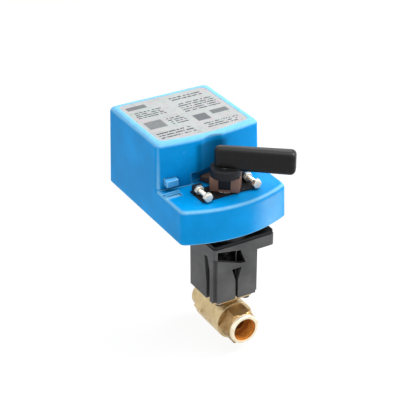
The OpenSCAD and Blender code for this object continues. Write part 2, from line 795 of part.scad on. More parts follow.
module motor_case() at_stem() color("gray") translate([motor_at[0], motor_at[1], plate_bottom + plate_t])
    difference() {
    cylinder(r = motor_r, h = motor_h);
    translate([0, 0, -overrun]) cylinder(r = motor_shaft_r + running_gap, h = motor_h + 2 * overrun);
    translate([0, 0, -overrun]) for (side = [-1, 1]) translate(side * motor_screw_step)
        cylinder(r = motor_screw_r + slip_gap, h = screw_grip);
}

module motor_screws() at_stem() color("silver") for (side = [-1, 1])
    translate([0, 0, plate_bottom]) translate(motor_at + side * motor_screw_step)
        screw(motor_screw_r, screw_grip - 2 * overrun, motor_head_r, motor_screw_r);

module circuit_board() at_stem() color("darkgreen") translate([board_x, board_y[0], board_bottom])
    cube([board_t, board_y[1] - board_y[0], housing_top - cover_wall - board_top_gap - board_bottom]);

module terminal_block() at_stem() color("seagreen")
    translate([board_x - terminal[0], terminal_y, underside + terminal_z]) cube(terminal);

module capacitors() at_stem() color("black") for (y = capacitors_y)
    translate([board_x - capacitor_len, y, underside + capacitor_z]) rotate([0, 90, 0])
        cylinder(r = capacitor_r, h = capacitor_len);

module housing_cover() at_stem() color([0.05, 0.5, 0.88]) difference() {
    union() {
        difference() {
            union() {
                deck_block(0, underside, deck_top, edge_r);
                tall_block(0, underside, housing_top, edge_r);
            }
            difference() {
                union() {
                    deck_block(cover_wall, underside - overrun, deck_top - cover_wall, slice);
                    tall_block(cover_wall, underside - overrun, housing_top - cover_wall, slice);
                }
                translate([0, 0, deck_top - cover_wall]) {
                    cylinder(r = alcove_r + cover_wall, h = housing_h);
                    cylinder(r = undercut_r + cover_wall, h = undercut_h + 2 * cover_wall);
                }
            }
        }
        for (at = cover_screws_at) translate([at[0], at[1], base_top]) cylinder(r = cover_boss_r,
            h = cover_boss_h);
        translate([slot_x - ridge_len / 2, ridge_y, deck_top - slice]) cube([ridge_len, ridge_w,
            ridge_h + slice]);
    }
    translate([0, 0, deck_top]) {
        cylinder(r = alcove_r, h = housing_h);
        cylinder(r = undercut_r, h = undercut_h);
    }
    translate([0, 0, deck_top - cover_wall - overrun]) cylinder(r = bush_r + slip_gap,
        h = cover_wall + 2 * overrun);
    for (at = cover_screws_at) translate([at[0], at[1], base_top - overrun])
        cylinder(r = cover_screw_r + slip_gap, h = cover_screw_grip + 2 * overrun);
    translate([slot_x - slot_len / 2, slot_y - slot_w / 2, deck_top - slot_depth]) cube([slot_len, slot_w,
        slot_depth + overrun]);
    translate([button_x - button_w / 2 - screw_gap, button_wall_y - button_w, button_z - screw_gap])
        cube([button_w + 2 * screw_gap, 2 * button_w, button_h + 2 * screw_gap]);
    translate([0, 0, housing_top - label_recess]) linear_extrude(overrun)
        polygon(plan_points(wall_reach + wall_bulge, wall_bulge, label_margin + draft));
    translate([gland_x, housing_rear - 2 * cover_wall, underside + gland_z]) rotate([-90, 0, 0])
        cylinder(r = gland_r + slip_gap, h = 3 * cover_wall);
}

module cover_screws() at_stem() color("silver") for (at = cover_screws_at)
    translate([at[0], at[1], underside + cover_head_h])
        screw(cover_screw_r, base_t + cover_screw_grip - cover_head_h, cover_head_r, cover_head_h - slice);

module label_plate() at_stem() color("gainsboro") difference() {
    translate([0, 0, housing_top - label_recess]) linear_extrude(label_t)
        polygon(plan_points(wall_reach + wall_bulge, wall_bulge, label_margin + draft + slip_gap));
    translate([0, 0, deck_top]) cylinder(r = alcove_r + label_margin / 2, h = housing_h);
}

module release_button() at_stem() color([0.1, 0.45, 0.8]) translate([button_x, button_front_y, button_z]) {
    translate([-button_w / 2, 0, 0]) cube([button_w, button_len, button_h]);
    translate([-button_w / 2 - button_flange, button_stand + cover_wall + button_flange_gap,
        -button_flange / 2])
        cube([button_w + 2 * button_flange, button_flange_t, button_h + button_flange]);
}

module release_spring() at_stem() color("silver")
    translate([button_x, spring_seat_y - spring_len + slice, button_z + button_h / 2]) rotate([-90, 0, 0])
        ring(spring_r, spring_r - spring_wire, spring_len + spring_seat_depth - slice);

// Plate round the coupler with the two lugs that carry the stop screws
module stop_bracket() at_stem() color([0.1, 0.1, 0.11]) difference() {
    union() {
        translate([-bracket_half, -bracket_front, deck_top]) cube([2 * bracket_half,
            bracket_front + bracket_rear, bracket_t]);
        for (side = [-1, 1]) translate([side * stop_at - stop_lug_w / 2, stop_lug_front, deck_top])
            cube([stop_lug_w, stop_lug_rear - stop_lug_front, stop_lug_h]);
    }
    translate([0, 0, deck_top - overrun]) cylinder(r = bracket_hole_r, h = bracket_t + 2 * overrun);
    for (side = [-1, 1]) translate([side * stop_at, 0, deck_top + stop_z])
        along_y(stop_screw_r + slip_gap, stop_lug_front - overrun, stop_lug_rear + overrun);
}

module stop_screws() at_stem() color("silver") for (side = [-1, 1]) translate([side * stop_at, 0,
    deck_top + stop_z]) {
    along_y(stop_screw_r, -stop_head_at, stop_tip);
    hexagon_y(stop_flats, -stop_head_at - stop_head_t, -stop_head_at);
}

module stop_nuts() at_stem() color("silver") for (side = [-1, 1]) translate([side * stop_at, 0,
    deck_top + stop_z])
    difference() {
        hexagon_y(stop_flats, stop_lug_front - stop_nut_t, stop_lug_front);
        along_y(stop_screw_r + slip_gap, stop_lug_front - stop_nut_t - overrun, stop_lug_front + overrun);
    }

module coupler() at_stem() color([0.42, 0.3, 0.2]) difference() {
    union() {
        at_lever() intersection() {
            translate([0, 0, coupler_bottom]) cylinder(r = coupler_round_r, h = coupler_h);
            translate([-coupler_w / 2, -coupler_front, coupler_bottom])
                cube([coupler_w, coupler_front + coupler_back, coupler_h]);
        }
        translate([0, 0, coupler_bottom]) intersection() {
            cylinder(r = tab_r, h = tab_t);
            linear_extrude(tab_t) rotate(third_turn + half_swing - lever_turn) polygon([[0, 0],
                2 * tab_r * [cos(-tab_half_turn), sin(-tab_half_turn)], 2 * tab_r * [cos(tab_half_turn),
                    sin(tab_half_turn)]]);
        }
    }
    translate([0, 0, coupler_bottom - overrun]) cylinder(r = shaft_r + slip_gap,
        h = coupler_h + 2 * overrun);
    at_lever() {
        translate([-insert_w / 2, -coupler_front - overrun, coupler_bottom + (coupler_h - insert_h) / 2])
            cube([insert_w, insert_depth + overrun, insert_h]);
        translate([0, 0, coupler_bottom + coupler_h / 2 + tab_t / 2])
            along_y(clamp_screw_r + slip_gap, 0, coupler_back + overrun);
    }
}

module coupler_insert() at_stem() color([0.08, 0.08, 0.08]) at_lever()
    translate([-insert_w / 2 + slip_gap, -coupler_front, coupler_bottom + (coupler_h - insert_h)
        / 2 + slip_gap])
        cube([insert_w - 2 * slip_gap, insert_depth - slip_gap, insert_h - 2 * slip_gap]);

module clamp_screw() at_stem() color("silver") at_lever()
    translate([0, 0, coupler_bottom + coupler_h / 2 + tab_t / 2]) difference() {
        union() {
            along_y(clamp_screw_r, shaft_r, coupler_back + slice);
            along_y(clamp_head_r, coupler_back, coupler_back + clamp_head_t);
        }
        translate([0, coupler_back + clamp_head_t - socket_depth, 0]) rotate([-90, 0, 0])
            cylinder(r = socket_r, h = socket_depth + overrun, $fn = 6);
    }

// Plan of the handle, drawn in by inset: it widens from behind the stem to its free end
module handle_plan(inset) for (end = [[lever_round - lever_back, lever_t], [lever_len - lever_round,
    lever_end_t]],
        side = [-1, 1])
    translate([end[0], side * (end[1] / 2 - lever_round)]) circle(lever_round - inset, $fn = hull_fn);

// Handle of the lever as a bar with round edges, standing on z = 0
module handle() hull() for (level = [[0, lever_round / 2], [lever_round / 2, 0], [lever_h - lever_round, 0],
        [lever_h - lever_round / 3, lever_round / 3], [lever_h, lever_crown_share * lever_round]])
    translate([0, 0, min(level[0], lever_h - slice)]) linear_extrude(slice) handle_plan(level[1]);

module override_lever() at_stem() color([0.06, 0.06, 0.06]) difference() {
    at_lever() union() {
        translate([0, 0, coupler_top]) cylinder(d = lever_hub_d, h = lever_hub_h + lever_round);
        translate([0, 0, lever_bottom]) handle();
    }
    translate([0, 0, coupler_top - overrun]) cylinder(r = shaft_r + slip_gap, h = lever_bore_h + overrun);
    at_lever() translate([0, 0, coupler_top + lever_hub_h / 2])
        along_y(set_screw_r + slip_gap, 0, lever_hub_d);
}

module lever_set_screw() at_stem() color("silver") at_lever() translate([0, 0,
    coupler_top + lever_hub_h / 2])
    along_y(set_screw_r, shaft_r, lever_hub_d / 2 - overrun);

// Frame of the cable gland: its axis along +Y, with the housing's rear face at y = 0
module at_gland() translate([gland_x, housing_rear, underside + gland_z]) children();

module gland_body() at_stem() color([0.12, 0.12, 0.13]) at_gland() difference() {
    union() {
        along_y(gland_r, -cover_wall - locknut_t - draft, gland_flange_t);
        hexagon_y(gland_flats, 0, gland_flange_t);
        along_y(gland_seal_r + cover_wall - overrun, 0, gland_flange_t + gland_nut_len / 2);
    }
    along_y(gland_cable_r, -housing_rear, housing_rear);
    along_y(gland_seal_r, gland_flange_t, housing_rear);
}

module gland_nut() at_stem() color([0.12, 0.12, 0.13]) at_gland() difference() {
    along_y(gland_nut_r, gland_flange_t, gland_flange_t + gland_nut_len);
    along_y(gland_cable_r, 0, housing_rear);
    along_y(gland_seal_r + cover_wall - overrun + slip_gap, 0,
        gland_flange_t + gland_nut_len / 2 + slip_gap);
}

module gland_seal() at_stem() color([0.05, 0.05, 0.05]) at_gland() difference() {
    along_y(gland_seal_r - slip_gap, gland_flange_t, gland_flange_t + gland_nut_len / 2);
    along_y(gland_cable_r, 0, housing_rear);
}

module gland_locknut() at_stem() color([0.12, 0.12, 0.13]) at_gland() difference() {
    hexagon_y(locknut_flats, -cover_wall - draft / 2 - locknut_t, -cover_wall - draft / 2);
    along_y(gland_r + slip_gap, -housing_rear, overrun);
}

valve_body();
end_connector();
connector_seal();
ball();
ball_seats();
stem();
thrust_washer();
stem_packing();
packing_nut();
column_bracket();
pad_screws();
adapter_plate();
flange_screws();
stem_coupling();
drive_shaft();
base_plate();
lower_bush();
upper_bush();
output_sleeve();
output_gear();
gear_posts();
gear_arbors();
gear_plate();
third_gear();
second_gear();
first_gear();
motor_rotor();
motor_case();
motor_screws();
circuit_board();
terminal_block();
capacitors();
housing_cover();
cover_screws();
label_plate();
release_button();
release_spring();
stop_bracket();
stop_screws();
stop_nuts();
coupler();
coupler_insert();
clamp_screw();
override_lever();
lever_set_screw();
gland_body();
gland_nut();
gland_seal();
gland_locknut();
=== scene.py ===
"""Looks of an electric two-way ball valve: brass valve, grey column, blue drive housing and black hand lever."""
from __future__ import annotations

import json
import logging
import math
from dataclasses import dataclass
from enum import Enum
from typing import Callable, Iterable, Sequence, TypeAlias

import bmesh
import bpy
import numpy as np
from mathutils import Matrix, Vector

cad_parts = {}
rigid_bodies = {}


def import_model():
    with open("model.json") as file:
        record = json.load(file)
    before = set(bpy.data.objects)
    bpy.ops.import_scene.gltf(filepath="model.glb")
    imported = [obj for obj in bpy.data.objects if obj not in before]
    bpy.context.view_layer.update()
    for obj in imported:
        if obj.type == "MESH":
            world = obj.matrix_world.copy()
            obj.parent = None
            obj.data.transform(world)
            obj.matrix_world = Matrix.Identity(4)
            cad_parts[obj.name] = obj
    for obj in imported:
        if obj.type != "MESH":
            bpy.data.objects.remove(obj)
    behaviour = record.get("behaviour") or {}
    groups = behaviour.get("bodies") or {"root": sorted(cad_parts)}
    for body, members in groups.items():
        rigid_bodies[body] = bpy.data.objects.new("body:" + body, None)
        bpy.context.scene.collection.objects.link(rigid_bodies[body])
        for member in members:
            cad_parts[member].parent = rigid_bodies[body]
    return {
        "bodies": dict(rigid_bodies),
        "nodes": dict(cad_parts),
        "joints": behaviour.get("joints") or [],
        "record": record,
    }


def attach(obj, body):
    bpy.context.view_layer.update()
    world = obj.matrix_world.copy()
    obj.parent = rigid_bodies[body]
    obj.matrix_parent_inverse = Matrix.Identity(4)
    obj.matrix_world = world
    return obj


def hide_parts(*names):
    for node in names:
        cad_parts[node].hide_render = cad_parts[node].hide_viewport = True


logging.basicConfig(level=logging.INFO, format="%(message)s")
log = logging.getLogger("valve")

# Places on the housing in metres, and the lever's turn at rest.
STEM_Y = 0.033
DECK_Z = 0.1166
HOUSING_TOP = 0.1567
HOLLOW_R = 0.0235
LEVER_TURN = math.radians(39.0)

MILLIMETRE = 0.001
WELD = 1e-6  # metres within which loose points become one
SLIVER = 1e-7  # metres under which a face counts as empty
AXIS = 0.001  # radius in millimetres at which a turned shape is closed on its axis
CREASE_GAIN = 12.0  # how fast the edge mask rises as the normal turns
CORNER_REACH = 0.02  # metres within which a corner gathers shade

Triple: TypeAlias = tuple[float, float, float]
Colour: TypeAlias = Triple
Pair: TypeAlias = tuple[float, float]
Value: TypeAlias = "Signal | float"
Grid: TypeAlias = np.ndarray
# Colour of the painted highlights on the housing's rims.
RIM_HIGHLIGHT_BLUE: Colour = (0.27, 0.56, 0.74)
# Colour of the painted reflection on the housing's right front.
REFLECTION_BLUE: Colour = (0.36, 0.56, 0.70)
# Colour of the painted shade on the coupler's tab.
TAB_SHADE_COLOUR: Colour = (0.010, 0.008, 0.007)
WHITE: Colour = (1.0, 1.0, 1.0)


# ---- shader maths


class Signal:
    """A node socket that is used in Python expressions."""

    def __init__(self, graph: Graph, socket: bpy.types.NodeSocket) -> None:
        """Wraps one output socket of a graph."""
        self.graph = graph
        self.socket = socket

    def _maths(self, operation: str, first: Value, second: Value | None = None) -> Signal:
        """Adds one Math node with one or two values."""
        return self.graph.node("ShaderNodeMath", {"operation": operation}, {0: first, 1: second})

    def __add__(self, other: Value) -> Signal:
        """Sum."""
        return self._maths("ADD", self, other)

    __radd__ = __add__

    def __sub__(self, other: Value) -> Signal:
        """Difference."""
        return self._maths("SUBTRACT", self, other)

    def __rsub__(self, other: Value) -> Signal:
        """Difference with the value on the left."""
        return self._maths("SUBTRACT", other, self)

    def __mul__(self, other: Value) -> Signal:
        """Product."""
        return self._maths("MULTIPLY", self, other)

    __rmul__ = __mul__

    def above(self, level: float) -> Signal:
        """One where the value is more than level."""
        return self._maths("GREATER_THAN", self, level)

    def below(self, level: float) -> Signal:
        """One where the value is less than level."""
        return self._maths("LESS_THAN", self, level)

    def most(self, other: Value) -> Signal:
        """The larger of two values."""
        return self._maths("MAXIMUM", self, other)

    def smooth(self, low: float, high: float) -> Signal:
        """Smooth step from 0 at low to 1 at high."""
        return self.graph.node("ShaderNodeMapRange", {"interpolation_type": "SMOOTHSTEP"},
                               {"Value": self, "From Min": low, "From Max": high})

    def size(self) -> Signal:
        """The value without its sign."""
        return self._maths("ABSOLUTE", self)

    def wave(self) -> Signal:
        """Sine of the value."""
        return self._maths("SINE", self)


class Graph:
    """The node graph of one material or world."""

    def __init__(self, name: str, world: bool = False) -> None:
        """Makes an empty material or world with an output node.

        Args:
            name: its name.
            world: makes a world in place of a material.
        """
        self.owner = (bpy.data.worlds if world else bpy.data.materials).new(name)
        self.owner.use_nodes = True
        self.tree = self.owner.node_tree
        self.tree.nodes.clear()
        self.output = self.tree.nodes.new("ShaderNodeOutputWorld" if world else "ShaderNodeOutputMaterial")

    def node(self, kind: str, settings: dict | None = None, inputs: dict | None = None, out: int | str = 0) -> Signal:
        """Adds a node.

        Args:
            kind: the node's type.
            settings: attributes that are set first.
            inputs: socket name or number to a value, colour or Signal; None leaves the socket as it is.
            out: the output socket that is returned.

        Returns:
            The chosen output as a Signal.
        """
        made = self.tree.nodes.new(kind)
        for key, value in (settings or {}).items():
            setattr(made, key, value)
        for key, value in (inputs or {}).items():
            socket = made.inputs[key]
            if isinstance(value, Signal):
                self.tree.links.new(value.socket, socket)
            elif value is None:
                continue
            elif isinstance(value, tuple) and len(socket.default_value) == 4:
                socket.default_value = (*value, 1.0)
            else:
                socket.default_value = value
        return Signal(self, made.outputs[out])

    def place(self) -> Signal:
        """Object coordinates, in metres."""
        return self.node("ShaderNodeTexCoord", out="Object")

    def stretched(self, scale: Sequence[float]) -> Signal:
        """Object coordinates scaled along each axis."""
        return self.node("ShaderNodeVectorMath", {"operation": "MULTIPLY"}, {0: self.place(), 1: tuple(scale)})

    def outputs(self, made: Signal, *names: int | str) -> list[Signal]:
        """Further outputs of the node that a Signal comes from."""
        return [Signal(self, made.socket.node.outputs[name]) for name in names]

    def axes(self) -> list[Signal]:
        """The x, y and z of the Object coordinates."""
        return self.outputs(self.node("ShaderNodeSeparateXYZ", inputs={0: self.place()}), 0, 1, 2)

    def off_stem(self) -> Signal:
        """Square of the distance from the stem's axis, x times x plus the same along y."""
        x, y, _ = self.axes()
        return x * x + (y - STEM_Y) * (y - STEM_Y)

    def noise(self, scale: float, detail: float = 3.0, rough: float = 0.55, at: Signal | None = None) -> Signal:
        """Noise with features of about 1/scale metres."""
        return self.node("ShaderNodeTexNoise", {}, {"Vector": at or self.place(), "Scale": scale, "Detail": detail,
                                                    "Roughness": rough})

    def cells(self, scale: float) -> Signal:
        """Distance to the nearest of random points."""
        return self.node("ShaderNodeTexVoronoi", {}, {"Vector": self.place(), "Scale": scale})

    def mixed(self, share: Value, first: Signal | Colour, second: Signal | Colour) -> Signal:
        """Colour between first and second."""
        return self.node("ShaderNodeMix", {"data_type": "RGBA"}, {0: share, 6: first, 7: second}, out=2)

    def edges(self, radius: float) -> tuple[Signal, Signal]:
        """Finds edges, by one minus the cosine between the rounded and the true normal, times a gain.

        Args:
            radius: how far round an edge the normal is rounded, in metres.

        Returns:
            The rounded normal, and a mask that is 1 where the surface bends.
        """
        rounded = self.node("ShaderNodeBevel", {"samples": 6}, {"Radius": radius})
        true = self.node("ShaderNodeNewGeometry", out="Normal")
        cosine = self.node("ShaderNodeVectorMath", {"operation": "DOT_PRODUCT"}, {0: rounded, 1: true}, out="Value")
        return rounded, ((1.0 - cosine) * CREASE_GAIN).smooth(0.0, 1.0)

    def open_share(self, reach: float) -> Signal:
        """How open the surface is to its surroundings within a reach, from 0 in a deep corner to 1."""
        return self.node("ShaderNodeAmbientOcclusion", {"samples": 8}, {"Distance": reach}, out="AO")

    def bump(self, height: Signal, distance: float, normal: Signal | None = None) -> Signal:
        """Normal that follows a height, a share of the distance in metres, over another or the surface's own."""
        return self.node("ShaderNodeBump", {}, {"Height": height, "Distance": distance, "Normal": normal})

    def backdrop(self) -> Signal:
        """Finds the rays that see what lies behind the object.

        Returns:
            One for rays from the camera and for those that come by way of gloss or glass.
        """
        camera, glossy, through = self.outputs(self.node("ShaderNodeLightPath"), "Is Camera Ray", "Is Glossy Ray",
                                               "Is Transmission Ray")
        return camera.most(glossy).most(through)

    def close(self, shader: Signal) -> None:
        """Leads a shader to the output."""
        self.tree.links.new(shader.socket, self.output.inputs["Surface"])

    def finish(self, colour: Signal | Colour, roughness: Value, normal: Signal, metallic: float = 0.0,
               **constants: float) -> None:
        """Closes the graph with a Principled shader.

        Args:
            colour: base colour or Signal.
            roughness: value or Signal.
            normal: normal Signal.
            metallic: metallic share.
            constants: other sockets by name, with underscores for spaces.
        """
        inputs: dict = {"Base Color": colour, "Roughness": roughness, "Metallic": metallic, "Normal": normal}
        inputs.update({key.replace("_", " "): value for key, value in constants.items()})
        self.close(self.node("ShaderNodeBsdfPrincipled", {}, inputs))


def tinted(colour: Colour, by: float) -> Colour:
    """The colour times a number, held under one."""
    return tuple(min(1.0, channel * by) for channel in colour)  # type: ignore[return-value]


# ---- finishes


@dataclass(frozen=True)
class Plastic:
    """Moulded plastic with fine grain, slow flow marks, scuffs, a painted highlight on its edges and painted shade in
    its corners.
    """

    name: str
    colour: Colour
    # edge: colour of the painted highlight on the edges, also used for the scuffs.
    edge: Colour
    rough: float = 0.42
    grain: float = 3200.0
    grain_depth: float = 0.00004
    edge_radius: float = 0.0008
    edge_highlight_share: float = 0.6
    mottle: float = 0.10
    sheen: float = 0.5
    scuff_share: float = 0.10
    # Share and tone of the painted shade in corners.
    corner_shade_share: float = 0.6
    corner_shade_tone: float = 0.2

    def marked(self, g: Graph, colour: Signal) -> Signal:
        """The colour with the marks and painted light of one piece; plain plastic has none."""
        return colour

    def make(self) -> None:
        """Draws the material."""
        g = Graph("look_" + self.name)
        rounded, edge = g.edges(self.edge_radius)
        slow = g.noise(28.0, 4.0)
        fine = g.noise(self.grain, 2.0)
        scuff = g.noise(420.0, 5.0, 0.7).smooth(0.58, 0.74)
        darker, lighter = tinted(self.colour, 1 - self.mottle), tinted(self.colour, 1 + self.mottle)
        worn = g.mixed(scuff * self.scuff_share, g.mixed(slow.smooth(0.3, 0.7), darker, lighter), self.edge)
        # Painted highlight: the edges take the edge colour.
        colour = g.mixed(edge * self.edge_highlight_share, worn, self.edge)
        colour = self.marked(g, colour)
        # Painted shade: corners that see little of their surroundings are darkened.
        painted_corner_shade = g.mixed(self.corner_shade_share, colour, tinted(self.colour, self.corner_shade_tone))
        colour = g.mixed(g.open_share(CORNER_REACH).smooth(0.25, 0.85), painted_corner_shade, colour)
        rough = self.rough + (fine - 0.5) * 0.12 + scuff * 0.06 - edge * 0.06
        height = fine * 0.7 + g.cells(self.grain * 0.6) * 0.5 + slow * 0.6
        g.finish(colour, rough, g.bump(height, self.grain_depth, rounded), 0.0, IOR=1.5,
                 Specular_IOR_Level=self.sheen)


@dataclass(frozen=True)
class HousingPlastic(Plastic):
    """The housing's plastic, with painted highlights on its rims, painted shade in the hollow and a painted reflection
    on its right front.

    Each pair of places, in metres, is where a mask is 0 and where it is 1, with a soft step between them.
    """

    # Share and places of the painted highlights on the top rim, the deck's rim and the tall wall's left corner.
    rim_highlight_share: float = 0.70
    top_rim: Pair = (HOUSING_TOP - 0.0036, HOUSING_TOP - 0.0012)
    deck_rim_low: Pair = (DECK_Z - 0.0032, DECK_Z - 0.0014)
    deck_rim_high: Pair = (DECK_Z - 0.0001, DECK_Z - 0.0010)
    deck_rim_rear: float = 0.060
    corner_x: Pair = (-0.0448, -0.0474)
    corner_y: Pair = (0.0616, 0.0590)
    corner_low: float = DECK_Z + 0.001
    # Share and places of the painted shade in the hollow behind the lever's hub.
    hollow_shade_share: float = 0.66
    hollow_squared: Pair = ((HOLLOW_R + 0.0040) ** 2, (HOLLOW_R + 0.0005) ** 2)
    hollow_low: Pair = (DECK_Z + 0.0002, DECK_Z + 0.0020)
    hollow_high: Pair = (HOUSING_TOP - 0.0035, HOUSING_TOP - 0.0080)
    # Share and places of the painted reflection on the right part of the curved front.
    front_reflection_share: float = 0.34
    front_reflection_x: Pair = (0.004, 0.034)
    front_reflection_y: Pair = (0.022, 0.010)
    front_reflection_z: Pair = (DECK_Z - 0.0030, DECK_Z - 0.0060)

    def marked(self, g: Graph, colour: Signal) -> Signal:
        """Lays painted highlights on the rims, painted shade in the hollow behind the lever's hub and a painted
        reflection on the right front over the colour.

        Args:
            g: the graph.
            colour: the plain plastic's colour.

        Returns:
            The marked colour.
        """
        x, y, z = g.axes()
        # Painted highlights: pale bands on the top rim, the deck's rim and the tall wall's left corner.
        deck = z.smooth(*self.deck_rim_low) * z.smooth(*self.deck_rim_high) * y.below(self.deck_rim_rear)
        corner = x.smooth(*self.corner_x) * y.smooth(*self.corner_y) * z.above(self.corner_low)
        rims = z.smooth(*self.top_rim).most(deck).most(corner) * (0.55 + g.noise(260.0, 3.0) * 0.5)
        # Painted shade: the hollow round the stem is darkened.
        hollow = g.off_stem().smooth(*self.hollow_squared) * z.smooth(*self.hollow_low) * z.smooth(*self.hollow_high)
        # Painted reflection: the right front is paler, in noisy patches.
        front_reflection = x.smooth(*self.front_reflection_x) * y.smooth(*self.front_reflection_y) * z.smooth(*self.front_reflection_z)
        colour = g.mixed(rims * self.rim_highlight_share, colour, RIM_HIGHLIGHT_BLUE)
        colour = g.mixed(hollow * self.hollow_shade_share, colour, tinted(self.colour, 0.22))
        return g.mixed(front_reflection * (0.6 + g.noise(60.0, 3.0) * 0.6) * self.front_reflection_share, colour, REFLECTION_BLUE)


@dataclass(frozen=True)
class CouplerPlastic(Plastic):
    """The coupler's plastic, whose tab is darkened by painted shade from a radius on."""

    shade_from: float = 0.0150
    soft: float = 0.001
    share: float = 0.97

    def marked(self, g: Graph, colour: Signal) -> Signal:
        """The colour with painted shade beyond the radius."""
        # Painted shade: the tab beyond the radius goes nearly black.
        tab_shade = g.off_stem().smooth(self.shade_from ** 2, (self.shade_from + self.soft) ** 2)
        return g.mixed(tab_shade * self.share, colour, TAB_SHADE_COLOUR)


@dataclass(frozen=True)
class Brass:
    """Turned or cast brass with tool marks round the pipe axis, dull patches, brown stains and a painted highlight on
    its edges.
    """

    name: str
    colour: Colour
    dull: Colour
    shade: Colour
    cast: float = 0.2
    rings: float = 5200.0
    rough: float = 0.34
    stain_share: float = 0.45
    edge_highlight_share: float = 0.45
    depth: float = 0.00006
    metallic: float = 0.92

    def make(self) -> None:
        """Draws the material."""
        g = Graph("look_" + self.name)
        _, y, _ = g.axes()
        rounded, edge = g.edges(0.0006)
        cloud = g.noise(95.0, 5.0, 0.6)
        sand = g.noise(1500.0, 4.0, 0.65)
        turned = (y * self.rings + cloud * 5.0).wave()
        stain = g.noise(230.0, 5.0, 0.7).smooth(0.52, 0.72)
        base = g.mixed(cloud.smooth(0.32, 0.68), self.colour, self.dull)
        base = g.mixed(stain * self.stain_share, base, self.shade)
        # Painted highlight: the edges are lighter.
        colour = g.mixed(edge * self.edge_highlight_share, base, tinted(self.colour, 1.25))
        rough = self.rough + (sand - 0.5) * 0.25 * self.cast + stain * 0.18 + cloud * 0.1
        height = turned * 0.10 * (1.0 - self.cast) + sand * self.cast * 1.6 + cloud * 0.8
        g.finish(colour, rough, g.bump(height, self.depth, rounded), self.metallic)


@dataclass(frozen=True)
class Steel:
    """Plated or turned steel with fine scratches, dark spots and a painted highlight on its edges."""

    name: str
    colour: Colour
    rough: float = 0.3
    stretch: Triple = (1.0, 1.0, 12.0)
    metallic: float = 0.95
    spot_share: float = 0.3
    edge_highlight_share: float = 0.5
    depth: float = 0.00003

    def make(self) -> None:
        """Draws the material."""
        g = Graph("look_" + self.name)
        rounded, edge = g.edges(0.0003)
        lines = g.noise(900.0, 3.0, 0.6, g.stretched(self.stretch))
        cloud = g.noise(160.0, 4.0)
        spots = g.noise(700.0, 3.0).smooth(0.62, 0.72)
        colour = g.mixed(cloud.smooth(0.3, 0.7), self.colour, tinted(self.colour, 0.84))
        colour = g.mixed(spots * self.spot_share, colour, tinted(self.colour, 0.6))
        # Painted highlight: the edges are lighter.
        colour = g.mixed(edge * self.edge_highlight_share, colour, tinted(self.colour, 1.2))
        rough = self.rough + (lines - 0.5) * 0.22 + spots * 0.15
        g.finish(colour, rough, g.bump(lines, self.depth, rounded), self.metallic)


@dataclass(frozen=True)
class Rubber:
    """Soft rubber with a dusty bloom."""

    name: str
    colour: Colour

    def make(self) -> None:
        """Draws the material."""
        g = Graph("look_" + self.name)
        bloom = g.noise(300.0, 4.0)
        fine = g.noise(4000.0, 2.0)
        colour = g.mixed(bloom.smooth(0.45, 0.8), self.colour, tinted(self.colour, 2.4))
        g.finish(colour, 0.75 + (fine - 0.5) * 0.2, g.bump(fine, 0.00003), 0.0, IOR=1.45)


@dataclass(frozen=True)
class Bar:
    """One printed mark on the label: its centre, half sizes, strength and, where it is broken up, its lines."""

    x: float
    y: float
    half_x: float
    half_y: float
    ink: float = 0.75
    lines: int = 0


@dataclass(frozen=True)
class PrintedLabel:
    """Grey-white film with printed lines and blocks and faint tints.

    A bar is a soft step on the distance from its centre along x, times the same along y. A bar with lines is that
    times a sine along y with one wave a line, broken into words by noise.
    """

    name: str
    film: Colour
    ink: Colour
    bars: tuple[Bar, ...]
    rosy: Colour = (0.38, 0.31, 0.33)
    green: Colour = (0.31, 0.38, 0.35)
    soft: float = 0.0004

    def make(self) -> None:
        """Draws the material."""
        g = Graph("look_" + self.name)
        x, y, _ = g.axes()
        words = g.noise(560.0, 1.0, at=g.stretched((1.0, 0.4, 1.0))).smooth(0.42, 0.46)
        marks: Value = 0.0
        for bar in self.bars:
            mask = bar.ink
            for place, half in (((x - bar.x).size(), bar.half_x), ((y - bar.y).size(), bar.half_y)):
                mask = place.smooth(half + self.soft, half - self.soft) * mask
            if bar.lines:
                waves = ((y - (bar.y - bar.half_y)) * (math.pi * bar.lines / bar.half_y)).wave()
                mask = mask * waves.smooth(-0.1, 0.4) * words
            marks = mask.most(marks)
        speck = g.noise(900.0, 4.0, 0.7)
        blots, smears = g.noise(330.0, 3.0, 0.6), g.noise(150.0, 3.0, 0.6, g.stretched((1.0, 1.7, 1.0)))
        film = g.mixed(g.noise(42.0, 3.0).smooth(0.38, 0.62), tinted(self.film, 0.93), self.film)
        for mask, share, tint in (
                (g.noise(90.0, 2.0).smooth(0.52, 0.62), 0.4, self.rosy),
                (g.noise(66.0, 2.0, at=g.stretched((1.3, 0.8, 1.0))).smooth(0.52, 0.62), 0.4, self.green),
                (blots.smooth(0.50, 0.66), 0.15, tinted(self.film, 0.45)),
                (smears.smooth(0.60, 0.70), 0.35, tinted(self.film, 0.3)),
                (speck.smooth(0.5, 0.8), 0.3, tinted(self.film, 1.3))):
            film = g.mixed(mask * share, film, tint)
        colour = g.mixed(marks * (0.75 + speck * 0.3), film, self.ink)
        rough = 0.55 + marks * 0.15 + (speck - 0.5) * 0.1
        g.finish(colour, rough, g.bump(speck + marks * 2.0, 0.00001), 0.0, IOR=1.46, Specular_IOR_Level=0.25)


@dataclass(frozen=True)
class CircuitCard:
    """Lacquered circuit card with copper tracks and pads."""

    name: str

    def make(self) -> None:
        """Draws the material."""
        g = Graph("look_" + self.name)
        _, y, z = g.axes()
        tracks = ((y * 900.0).wave().above(0.7)) * (g.noise(60.0, 1.0).above(0.5))
        rungs = ((z * 700.0).wave().above(0.8)) * (g.noise(45.0, 1.0).above(0.52))
        pads = g.cells(260.0).below(0.12)
        copper = tracks.most(rungs)
        colour = g.mixed(copper, (0.01, 0.12, 0.05), (0.03, 0.28, 0.10))
        colour = g.mixed(pads, colour, (0.72, 0.70, 0.62))
        g.finish(colour, 0.35 - pads * 0.1 + copper * 0.05, g.bump(copper + pads, 0.00004), 0.0, IOR=1.5)


